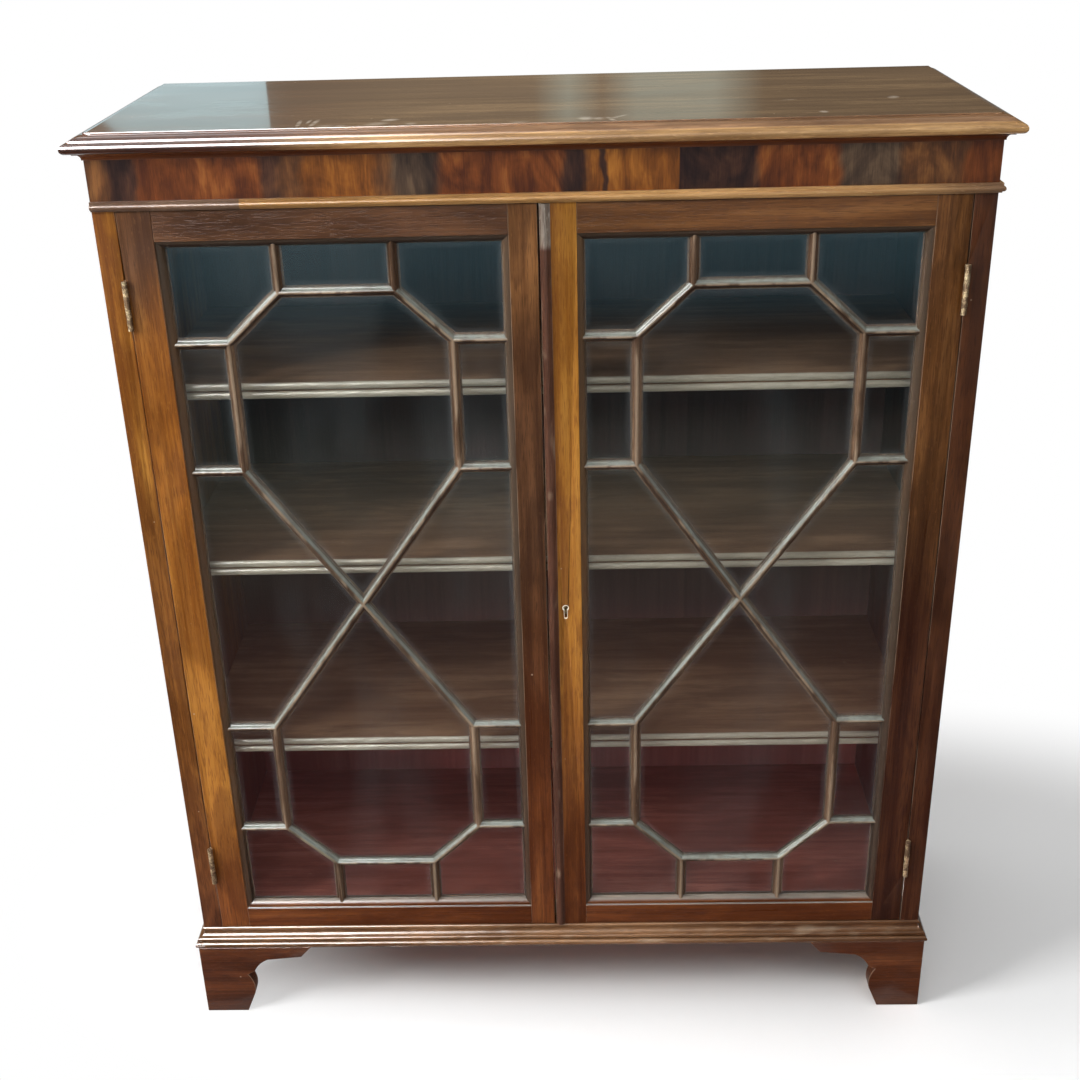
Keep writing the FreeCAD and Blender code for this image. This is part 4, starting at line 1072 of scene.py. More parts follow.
class Turned(Pattern):
    """Round pieces turned to a rule and set on points, each along its point's own way."""

    def bar(self, steps: int, sides: int, rule: Callable[[Socket], Socket]) -> Socket:
        """A round bar along Z.

        Args:
            steps: rings along it.
            sides: faces round it.
            rule: gives the radius from the place along the bar.

        Returns:
            Its mesh.
        """
        g = self.graph
        line = g.out("GeometryNodeCurvePrimitiveLine", {"End": g.vector(0.0, 0.0, self.inputs["Length"])})
        return g.out("GeometryNodeCurveToMesh", {
            "Curve": g.out("GeometryNodeResampleCurve", {"Curve": line, "Count": steps}),
            "Profile Curve": g.out("GeometryNodeCurvePrimitiveCircle", {"Resolution": sides, "Radius": 1.0}),
            "Scale": rule(g.node("GeometryNodeSplineParameter").outputs["Length"]), "Fill Caps": True})

    def random_vector(self, low: Vector, high: Vector) -> Socket:
        """A vector of its own for each point, picked by the seed."""
        feeds = {0: low, 1: high, "Seed": self.inputs["Seed"]}
        return self.graph.out("FunctionNodeRandomValue", feeds, data_type="FLOAT_VECTOR")

    def set_out(self, shape: Socket, stray: float = 0.0) -> None:
        """Put a shape on every point, spun at random about its own axis, and close the tree.

        Args:
            shape: a mesh along Z.
            stray: how far a point may stray sideways, in metres.
        """
        g = self.graph
        spin = g.out("FunctionNodeEulerToRotation", {0: self.random_vector(Vector(), Vector((0, 0, math.pi)))})
        aligned = g.out("FunctionNodeAlignRotationToVector", {"Vector": g.named("way", "FLOAT_VECTOR")}, axis="Z")
        turned = g.out("FunctionNodeRotateRotation", {0: aligned, 1: spin}, rotation_space="LOCAL")
        offset = self.random_vector(Vector((-stray, 0, -stray)), Vector((stray, 0, stray)))
        strayed = g.out("GeometryNodeSetPosition", {"Geometry": self.inputs["Geometry"], "Offset": offset})
        self.end(g.out("GeometryNodeInstanceOnPoints", {"Points": strayed, "Instance": shape, "Rotation": turned}))


@dataclass(frozen=True)
class Turning:
    """Something turned, whose sizes are the inputs of its tree."""

    STRAY = 0.0

    def shape(self, made: Turned, *sizes: Socket) -> Socket:
        """Shape the piece along Z, as a mesh."""
        raise NotImplementedError

    @property
    def sizes(self) -> dict[str, float]:
        """Each size by the name of its input."""
        return {size.name.replace("_", " ").title(): getattr(self, size.name) for size in fields(self)}

    def pattern(self, name: str) -> Turned:
        """Tree that shapes the piece and sets it on points.

        Args:
            name: the tree's name.

        Returns:
            The tree.
        """
        made = Turned(name, {**dict.fromkeys(self.sizes, "Float"), "Seed": "Int"})
        made.set_out(self.shape(made, *(made.inputs[label] for label in self.sizes)), self.STRAY)
        return made

    def values(self, seed: int, material: Material) -> dict[str, object]:
        """Inputs for the tree."""
        return {**self.sizes, "Seed": seed, "Finish": material}


@dataclass(frozen=True)
class Screw(Turning):
    """Slotted countersunk screw."""

    length: float = 15.0 * MM
    head_radius: float = 3.2 * MM
    shank_radius: float = 1.6 * MM
    head_depth: float = 1.6 * MM
    slot: float = 0.7 * MM

    def shape(self, made: Turned, *sizes: Socket) -> Socket:
        """Turn the screw along Z and saw its slot.

        Args:
            made: the tree.
            sizes: inputs for the sizes, in the fields' order.

        Returns:
            Its mesh.
        """
        g = made.graph
        _, head, shank, depth, slot = sizes
        taper = g.math("DIVIDE", g.math("SUBTRACT", head, shank), depth)
        turned = made.bar(steps=24, sides=24, rule=lambda along: g.math(
            "MAXIMUM", shank, g.math("SUBTRACT", head, g.product(along, taper))))
        saw = g.out("GeometryNodeMeshCube", {"Size": g.vector(slot, g.product(head, 3.0), g.product(slot, 2.0))})
        return g.out("GeometryNodeMeshBoolean", {"Mesh 1": turned, "Mesh 2": saw}, operation="DIFFERENCE")


@dataclass(frozen=True)
class Peg(Turning):
    """Turned shelf peg with chamfered ends and the marks of the tool."""

    length: float = 22.0 * MM
    radius: float = 4.0 * MM
    chamfer: float = 0.8 * MM
    mark: float = 0.05 * MM

    MARKS = 4200.0  # radians per metre

    def shape(self, made: Turned, *sizes: Socket) -> Socket:
        """Turn the peg along Z.

        Args:
            made: the tree.
            sizes: inputs for the sizes, in the fields' order.

        Returns:
            Its mesh.
        """
        g = made.graph
        length, radius, chamfer, mark = sizes
        narrow = g.math("SUBTRACT", radius, chamfer)

        def rule(along: Socket) -> Socket:
            """Find the radius.

            Args:
                along: the place along the peg.

            Returns:
                The radius there.
            """
            near_end = g.math("MINIMUM", along, g.math("SUBTRACT", length, along))
            marks = g.product(g.math("SINE", g.product(along, self.MARKS)), mark, 0.5)
            body = g.math("SUBTRACT", g.math("ADD", radius, marks), g.product(mark, 0.5))
            return g.math("MINIMUM", body, g.math("ADD", narrow, near_end))

        return made.bar(steps=56, sides=20, rule=rule)


@dataclass(frozen=True)
class Nail(Turning):
    """Domed head of a cut nail, sunk a little in the wood."""

    length: float = 0.6 * MM
    radius: float = 2.6 * MM

    STRAY = 3.0 * MM

    def shape(self, made: Turned, *sizes: Socket) -> Socket:
        """Shape the head along Z.

        Args:
            made: the tree.
            sizes: inputs for the sizes, in the fields' order.

        Returns:
            Its mesh.
        """
        g = made.graph
        length, radius = sizes
        return made.bar(steps=5, sides=12, rule=lambda along: g.product(radius, g.math(
            "SUBTRACT", 1.0, g.product(0.5, g.math("POWER", g.math("DIVIDE", along, length), 2.0)))))


def seats(places: Sequence[tuple[Vector, Vector]], name: str) -> Mesh:
    """Points for turned pieces to sit on.

    Args:
        places: the near end of each piece and the way it runs.
        name: the mesh's name.

    Returns:
        A mesh of loose points with the attribute way.
    """
    mesh = bpy.data.meshes.new(name)
    mesh.from_pydata([place for place, _ in places], [], [])
    ways = mesh.attributes.new("way", "FLOAT_VECTOR", "POINT")
    for point, (_, way) in zip(ways.data, places):
        point.vector = way
    return mesh


# ---------------------------------------------------------------- stage
def flat(x: Span, y: Span, z: float) -> tuple[Place, ...]:
    """Corners of a level rectangle."""
    return ((x[0], y[0], z), (x[1], y[0], z), (x[1], y[1], z), (x[0], y[1], z))


def sheet(name: str, corners: Sequence[Place], material: Material) -> Object:
    """A flat sheet with four corners.

    Args:
        name: its name.
        corners: its corners in order.
        material: its finish.

    Returns:
        The sheet's object.
    """
    mesh = bpy.data.meshes.new(name)
    mesh.from_pydata(corners, [], [(0, 1, 2, 3)])
    mesh.materials.append(material)
    return add_object(name, mesh)


@dataclass(frozen=True)
class Softbox:
    """A soft lamp: its place, what it points at, its size and how bright its face is."""

    name: str
    place: Place
    aim: Place
    width: float
    height: float
    brightness: float

    def hang(self) -> None:
        """Put the lamp in the scene."""
        data = bpy.data.lights.new(self.name, "AREA")
        data.shape = "RECTANGLE"
        data.size = self.width
        data.size_y = self.height
        data.energy = self.brightness * self.width * self.height * math.pi
        lamp = add_object(self.name, data)
        lamp.location = self.place
        lamp.rotation_euler = (Vector(self.aim) - Vector(self.place)).to_track_quat("-Z", "Y").to_euler()
        lamp.visible_glossy = False


@dataclass(frozen=True)
class Card:
    """A card that only reflections see.

    Attributes:
        name: its name.
        corners: its four corners.
        axis: the axis that the colours run along.
        span: where on that axis the first and last colours are.
        colours: its colours, evenly spaced and brighter than 1 where it shines.
    """

    name: str
    corners: tuple[Place, ...]
    axis: int
    span: Span
    colours: tuple[Colour, ...]

    def stand(self) -> None:
        """Put the card on the stage."""
        g, material = Graph.of_material(self.name)
        colour = g.ramp(g.remap(g.parts(g.place())[self.axis], *self.span), self.colours)
        g.surface(g.out("ShaderNodeEmission", {"Color": colour}))
        card = sheet(self.name, self.corners, material)
        card.visible_camera = False
        card.visible_diffuse = False
        card.visible_transmission = False
        card.visible_shadow = False


BROWN, PALE, DIM = (0.26, 0.19, 0.13), (0.42, 0.42, 0.34), (0.17, 0.12, 0.08)
CEILING_X, CEILING_Z, DAYLIGHT = (-6, 4), 3.8, (-1.6, 0.6)
CARDS = (
    Card("brown_card_behind", ((-5.0, 2.2, 1.34), (4.5, 2.2, 1.34), (4.5, 2.2, 3.7), (-5.0, 2.2, 3.7)),
         0, (-0.79, 0.86), (*(BROWN,) * 6, PALE, BROWN, PALE, PALE, PALE, DIM, DIM)),
    Card("pale_card_behind", ((-1.60, 2.19, 1.34), (-0.785, 2.19, 1.34), (-0.785, 2.19, 1.85), (-1.08, 2.19, 1.85)),
         2, (1.45, 1.85), ((0.84, 1.08, 1.14), (0.58, 0.72, 0.70))),
    Card("dark_card_in_front", flat((-4, 4), (-0.21, -9), 0.002), 1, (-4.95, -0.6),
         ((0.28, 0.54, 0.65), (0.02, 0.045, 0.06), (0.06, 0.07, 0.07), (0.30, 0.32, 0.26), (0.25, 0.06, 0.06))),
    Card("window_card_in_front", flat(CEILING_X, (-6.5, -1.2), CEILING_Z), 0, DAYLIGHT,
         ((62.0, 63.0, 65.0), (22.0, 22.0, 22.5), (1.6, 1.5, 1.3), (1.2, 1.05, 0.8))),
    Card("ceiling_card", flat(CEILING_X, (-1.2, 1.35), CEILING_Z), 0, DAYLIGHT,
         ((1.1, 1.13, 1.17), (0.9, 0.9, 0.9), (0.3, 0.28, 0.24), (0.3, 0.28, 0.24))),
    Card("strip_card_above", flat(CEILING_X, (1.35, 1.9), CEILING_Z), 0, DAYLIGHT,
         ((5.0, 5.1, 5.2), (4.0, 4.0, 4.1), (1.2, 1.1, 0.95), (1.0, 0.92, 0.75))),
)
LAMPS = (
    Softbox("key_softbox", (-2.10, -1.05, 2.05), (-0.1, 0.0, 0.70), 0.95, 1.20, 20.0),
    Softbox("front_softbox", (0.30, -1.85, 2.55), (0.0, -0.1, 0.6), 2.4, 1.0, 3.1),
    Softbox("ceiling_softbox", (0.0, 0.2, 3.3), (0.0, 0.2, 0.0), 3.2, 2.2, 2.5),
)


@dataclass
class Stage:
    """Floor, backdrop, lamps and camera."""

    floor_half: float = 14.0
    floor_tone: float = 0.90
    lit_middle: Span = (0.35, 0.10)
    lit_reach: Span = (1.30, 0.62)
    sky: float = 0.22
    lens: float = 48.473
    sensor: float = 36.0
    camera_place: Place = (0.03193, -1.89431, 1.60862)
    camera_turn: Place = (64.438, 1.4126, 0.8210)

    def build(self) -> None:
        """Set up everything that isn't the bookcase."""
        self.lay_floor()
        self.light_world()
        for lamp in LAMPS:
            lamp.hang()
        for card in CARDS:
            card.stand()
        self.place_camera()
        LOG.info("stage ready")

    def lay_floor(self) -> None:
        """Pale floor that keeps the case's shadow and turns into the white backdrop further out."""
        g, material = Graph.of_material("pale_floor")
        reach = Vector((1 / self.lit_reach[0], 1 / self.lit_reach[1], 0))
        shift = Vector((-self.lit_middle[0] * reach.x, -self.lit_middle[1] * reach.y, 0))
        away = g.length(g.mapped(g.place(), reach, shift))
        tone = g.remap(g.clouds(g.place(), 2.0), 0.2, 0.8, self.floor_tone - 0.01, self.floor_tone)
        g.surface(g.either(g.product(g.seen(), g.remap(away, 0.5, 1.0)),
                           g.out("ShaderNodeBsdfDiffuse", {"Color": tone}), g.out("ShaderNodeEmission")))
        span = (-self.floor_half, self.floor_half)
        floor = sheet("floor", flat(span, span, 0), material)

    def light_world(self) -> None:
        """Soft light from all round, and white where it is seen straight or through glass."""
        world = bpy.data.worlds.new("studio")
        world.use_nodes = True
        g = Graph(world.node_tree)
        soft, white = (g.out("ShaderNodeBackground", {"Color": (1.0, 1.0, 1.0), "Strength": strength})
                       for strength in (self.sky, 1.0))
        g.surface(g.either(g.seen(), soft, white), "ShaderNodeOutputWorld")
        bpy.context.scene.world = world
        bpy.context.scene.view_settings.view_transform = "Standard"

    def place_camera(self) -> None:
        """Set the camera a little above the top, looking down at the doors."""
        data = bpy.data.cameras.new("camera")
        data.lens = self.lens
        data.sensor_width = self.sensor
        data.sensor_fit = "HORIZONTAL"
        data.clip_end = 100.0
        camera = add_object("camera", data)
        camera.location = self.camera_place
        camera.rotation_euler = Euler([math.radians(angle) for angle in self.camera_turn])
        bpy.context.scene.camera = camera


# ---------------------------------------------------------------- the case
@dataclass
class Carcase:
    """Gables, boards, shelves and back."""

    shop: Shop
    gable_ease: float = 0.7 * MM
    shelf_ease: float = 0.6 * MM
    lip: float = 3.0 * MM
    board_gap: float = 0.6 * MM
    nail_inset: float = 24.0 * MM
    nail_proud: float = 0.4 * MM

    def build(self) -> None:
        """Finish the carcase's pieces."""
        self.gables()
        self.shelves()
        self.hidden_timber()

    def gables(self) -> None:
        """The two sides, golden above and red-brown at the foot on the left."""
        left = Mahogany("gable_left_polish", Grain.UPRIGHT, Tones.GOLDEN, 1.0,
                        (Fade(Tones.AMBER, 0.75, 0.95), Fade(Tones.RED, 0.18, 0.58)))
        right = Mahogany("gable_right_polish", Grain.UPRIGHT, Tones.UMBER, 2.0)
        for node, finish in (("gable_left", left), ("gable_right", right)):
            self.shop.plain(node, finish, self.gable_ease)

    def shelves(self) -> None:
        """Loose shelves and the bottom board, waxed."""
        for index, node in enumerate(("shelf_lower", "shelf_middle", "shelf_upper", "floor_board")):
            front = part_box(node)[0].y
            # Painted highlight: the front edge of each board turns pale cream.
            lip = Fade(Tones.SHELF_EDGE, front + self.lip, front + self.lip + MM, axis=1, wander=0.0)
            tone = Tones.SHELF_RED if node == "floor_board" else Tones.SHELF
            finish = Mahogany(f"{node}_wax", Grain.ACROSS_CASE, tone, 3.0 + index, (lip,), sheen=0.42,
                              spread=0.7, gloss=0.2, gloss_blur=0.2, dust=0.05, rub=0.8)
            self.shop.plain(node, finish, self.shelf_ease)

    def hidden_timber(self) -> None:
        """Deal behind the show wood."""
        front, rear = (corner.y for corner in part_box("back_boards"))
        boards = Deal("back_board_deal", Grain.UPRIGHT, 0.208, front + 4 * MM)
        across = Deal("rail_deal", Grain.ACROSS_CASE, 3.0)
        inner = Deal("subtop_deal", Grain.ACROSS_CASE, 3.0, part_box("subtop")[1].y + 1.0)
        upright = Deal("block_deal", Grain.UPRIGHT, 3.0)
        back = Workpiece("back_boards")
        back.close_gaps(self.board_gap)
        places = [(Vector((x + aside, rear - Nail.length, z)), Vector((0, 1, 0)))
                  for x, half in back.spans(0) for aside in (self.nail_inset - half, half - self.nail_inset)
                  for z in (middle("subtop").z, middle("floor_board").z)]
        back.shave(1, rear, self.nail_proud)
        piece = self.shop.complete(back, boards)
        nail = Nail()
        iron = self.shop.material(Metal("nail_iron", (0.13, 0.10, 0.08), (0.045, 0.026, 0.016), 0.55, 0.50))
        heads = nail.pattern("nail_heads").grow("back_nails", seats(places, "nail_places"), nail.values(3, iron))
        join_into(piece, heads)
        for finish, nodes in ((inner, ("subtop", "door_stop", "frieze_rail")),
                              (across, ("plinth_rails", "rear_braces")), (upright, ("foot_blocks",))):
            for node in nodes:
                self.shop.plain(node, finish)


@dataclass
class TopAndFrieze:
    """Moulded top, the mouldings under it and the veneered frieze."""

    shop: Shop
    top_mould: float = 23.3 * MM
    ovolo: float = 13.0 * MM
    moulding_ease: float = 0.4 * MM
    fine_ease: float = 0.3 * MM
    dent_pitch: float = 7.0 * MM

    SCUFFS = tuple(Scuff(*row) for row in (
        (-0.283, -0.152, 0.062, 0.0075, 1.62), (-0.273, -0.140, 0.036, 0.0060, 1.50),
        (-0.265, -0.150, 0.066, 0.0090, 1.50), (-0.250, -0.170, 0.030, 0.0140, 0.0),
        (-0.232, -0.172, 0.020, 0.0100, 0.1), (-0.190, -0.164, 0.038, 0.0240, 0.4),
        (-0.177, -0.140, 0.028, 0.0200, 0.5), (-0.150, -0.168, 0.018, 0.0150, 0.0),
        (0.053, -0.158, 0.024, 0.0340, 0.1), (0.068, -0.162, 0.018, 0.0200, 0.0),
        (0.082, -0.166, 0.036, 0.0090, 1.9), (0.093, -0.150, 0.048, 0.0080, 0.9),
        (-0.025, -0.172, 0.030, 0.0120, 0.0), (0.330, -0.150, 0.014, 0.0160, 0.4),
        (0.429, -0.057, 0.018, 0.0260, -0.4), (0.300, -0.060, 0.030, 0.0080, 0.3),
    ))
    LEAVES = tuple(Leaf(width, Figure[figure], *soft) for width, figure, *soft in (
        (0.022, "BROWN"), (0.038, "DARK"), (0.143, "RED"), (0.025, "DARK"), (0.024, "BROWN"),
        (0.087, "GOLD"), (0.020, "BROWN"), (0.052, "GREY"), (0.147, "RED"), (0.029, "DARK"),
        (0.015, "GOLD", 2 * MM), (0.007, "DARK", 2 * MM), (0.085, "GOLD", 0.6 * MM), (0.092, "DARK"),
        (0.092, "RED"), (0.073, "GREY"), (0.038, "BROWN"), (0.038, "BROWN"), (0.035, "RED"),
    ))

    def build(self) -> None:
        """Finish the pieces over the doors."""
        self.top()
        veneer = FriezeVeneer("frieze_veneer_polish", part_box("frieze_veneer")[0].x, self.LEAVES)
        self.shop.plain("frieze_veneer", veneer, self.fine_ease)
        self.mouldings()

    def top(self) -> None:
        """The top, its surface worn and darker towards the left, and its moulded edge."""
        left = Fade(Tones.UMBER, -0.36, -0.16, axis=0, wander=0.0)
        top = Mahogany("top_polish", Grain.ACROSS_CASE, Tones.TOP, 8.0, (left,), sheen=0.30, gloss=1.0,
                       gloss_blur=0.06, rub=0.05, chips=0.03, spread=1.3, relief=0.01 * MM, scuffs=self.SCUFFS)
        near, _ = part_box("top_board")
        ovolo = Fade(Tones.MOULDING, near.z + self.ovolo + 1.5 * MM, near.z + self.ovolo, wander=0.0)
        edge = Mahogany("top_edge_polish", Grain.ACROSS_CASE, Tones.TOP_EDGE, 8.0, (ovolo, left), sheen=0.34,
                        gloss=1.0, gloss_blur=0.19, rub=0.05, chips=0.02, relief=0.01 * MM)
        mould_y = near.y + self.top_mould
        work = Workpiece("top_board")
        work.ease_arrises()
        work.cut(1, mould_y + 4 * MM)
        work.slice(0, self.dent_pitch)
        work.dent(Vector((48, 60, 90)), 0.4 * MM, 0.86, 2.0, Vector((0, -0.8, 0.6)))
        piece = self.shop.complete(work, top)
        piece.data.materials.append(self.shop.material(edge))
        for polygon in piece.data.polygons:
            polygon.material_index = int(polygon.center.y < mould_y)

    def mouldings(self) -> None:
        """Bed moulding and the bead under the frieze, each with its returns."""
        moulding = Mahogany("bed_moulding_polish", Grain.ACROSS_CASE, Tones.RUSSET, 9.0, rub=0.2)
        returns = Mahogany("bed_return_polish", Grain.TO_THE_BACK, Tones.BROWN, 9.5, rub=0.5)
        repair = Fade(Tones.PINK, -0.356, -0.355, axis=0, wander=0.0)
        # Painted highlight: the bead turns pale straw to the right and grey-pink at its right end.
        painted_highlight = Fade(Tones.STRAW, 0.30, 0.00, axis=0, wander=0.1)
        painted_grey_sheen = Fade(Tones.PINK, 0.60, 0.36, axis=0, wander=0.1)
        bead = Mahogany("frieze_bead_polish", Grain.ACROSS_CASE, Tones.PALE_GOLD, 10.0, (painted_highlight, painted_grey_sheen, repair),
                        gloss=0.15)
        bead_return = Mahogany("frieze_bead_return_polish", Grain.TO_THE_BACK, Tones.PALE_GOLD, 10.5)
        for name, front, back, ease in (("bed_moulding", moulding, returns, self.moulding_ease),
                                        ("frieze_bead", bead, bead_return, self.fine_ease)):
            self.shop.plain(f"{name}_front", front, ease)
            self.shop.plain(f"{name}_returns", back, ease)


@dataclass
class Base:
    """Base moulding and bracket feet."""

    shop: Shop
    moulding_ease: float = 0.4 * MM
    bracket_ease: float = 0.8 * MM
    dent_pitch: float = 7.0 * MM

    def build(self) -> None:
        """Finish the base."""
        darker = Fade(Tones.BROWN, 0.50, 0.05, axis=0, wander=0.2)
        front = Mahogany("base_moulding_polish", Grain.ACROSS_CASE, Tones.MOULDING, 11.0, (darker,), sheen=0.28,
                         gloss=0.52, gloss_blur=0.12, rub=0.3, chips=0.05, relief=0.03 * MM)
        returns = Mahogany("base_return_polish", Grain.TO_THE_BACK, Tones.MOULDING, 11.5, (darker,), sheen=0.28,
                           gloss=0.5, gloss_blur=0.08, rub=0.3, relief=0.03 * MM)
        work = Workpiece("base_moulding_front", self.moulding_ease)
        work.ease_arrises()
        work.slice(0, self.dent_pitch)
        work.dent(Vector((42, 60, 80)), 0.8 * MM, 0.60, 7.0, Vector((0, -0.9, 0.3)))
        self.shop.complete(work, front)
        for node in ("base_moulding_left", "base_moulding_right"):
            self.shop.plain(node, returns, self.moulding_ease)
        for index, hand in enumerate(("left", "right")):
            across = Mahogany(f"bracket_front_{hand}_polish", Grain.ACROSS_CASE, Tones.FOOT, 12.0 + index)
            along = Mahogany(f"bracket_side_{hand}_polish", Grain.TO_THE_BACK, Tones.FOOT, 14.0 + index)
            for side, finish in (("front", across), ("side", along), ("rear", along)):
                self.shop.plain(f"bracket_{side}_{hand}", finish, self.bracket_ease)


# ---------------------------------------------------------------- the doors
class Hand(Enum):
    """A door's side of the case."""

    LEFT = "left"
    RIGHT = "right"

    @property
    def sign(self) -> int:
        """-1 on the left, 1 on the right."""
        return -1 if self is Hand.LEFT else 1


@dataclass(frozen=True)
class DoorTimbers:
    """The timbers of one door, with the seed that their own grain counts from."""

    seed: float
    hanging: Tone
    hanging_fades: tuple[Fade, ...]
    meeting: Tone
    meeting_fades: tuple[Fade, ...]
    top: Tone

    def finishes(self, hand: Hand) -> dict[str, Mahogany]:
        """Finish each timber.

        Args:
            hand: which door.

        Returns:
            The finishes by the names of the solids, without the door's own.
        """
        # Painted shade in the sunk mouldings and under faces that look down.
        dark = {"grime": 0.85, "soot": 0.8}
        rows = (
            ("hanging_stile", "hanging", Grain.UPRIGHT, self.hanging, 0.0, self.hanging_fades, dark),
            ("meeting_stile", "meeting", Grain.UPRIGHT, self.meeting, 1.0, self.meeting_fades, dark),
            ("top_rail", "top_rail", Grain.ACROSS_CASE, self.top, 2.0, (), dark),
            ("bottom_rail", "bottom_rail", Grain.ACROSS_CASE, Tones.RUSSET, 3.0, (), {"dust": 0.6}),
            # The bars take dust with painted sheen on faces that look up, and painted shade under them.
            ("glazing_bars", "bar", Grain.UPRIGHT, Tones.BAR, 3.5, (),
             {"dust": 0.95, "slope": -0.02, "bare_crown": 0.55, "rub": 0.35, "soot": 0.9}),
        )
        return {node: Mahogany(f"{hand.value}_{name}_polish", grain, tone, self.seed + own, fades, **more)
                for node, name, grain, tone, own, fades, more in rows}


TIMBERS = {
    Hand.LEFT: DoorTimbers(
        4.0, Tones.HONEY, (Fade(Tones.BROWN, 1.18, 1.05), Fade(Tones.RUSSET, 0.20, 0.45)),
        Tones.COCOA, (Fade(Tones.NUT, 1.16, 1.04), Fade(Tones.RUSSET, 0.30, 0.80)), Tones.COCOA),
    Hand.RIGHT: DoorTimbers(
        14.0, Tones.NUT, (Fade(Tones.UMBER, 0.65, 0.90),),
        Tones.GOLDEN, (Fade(Tones.RUSSET, 0.20, 0.78),), Tones.NUT),
}


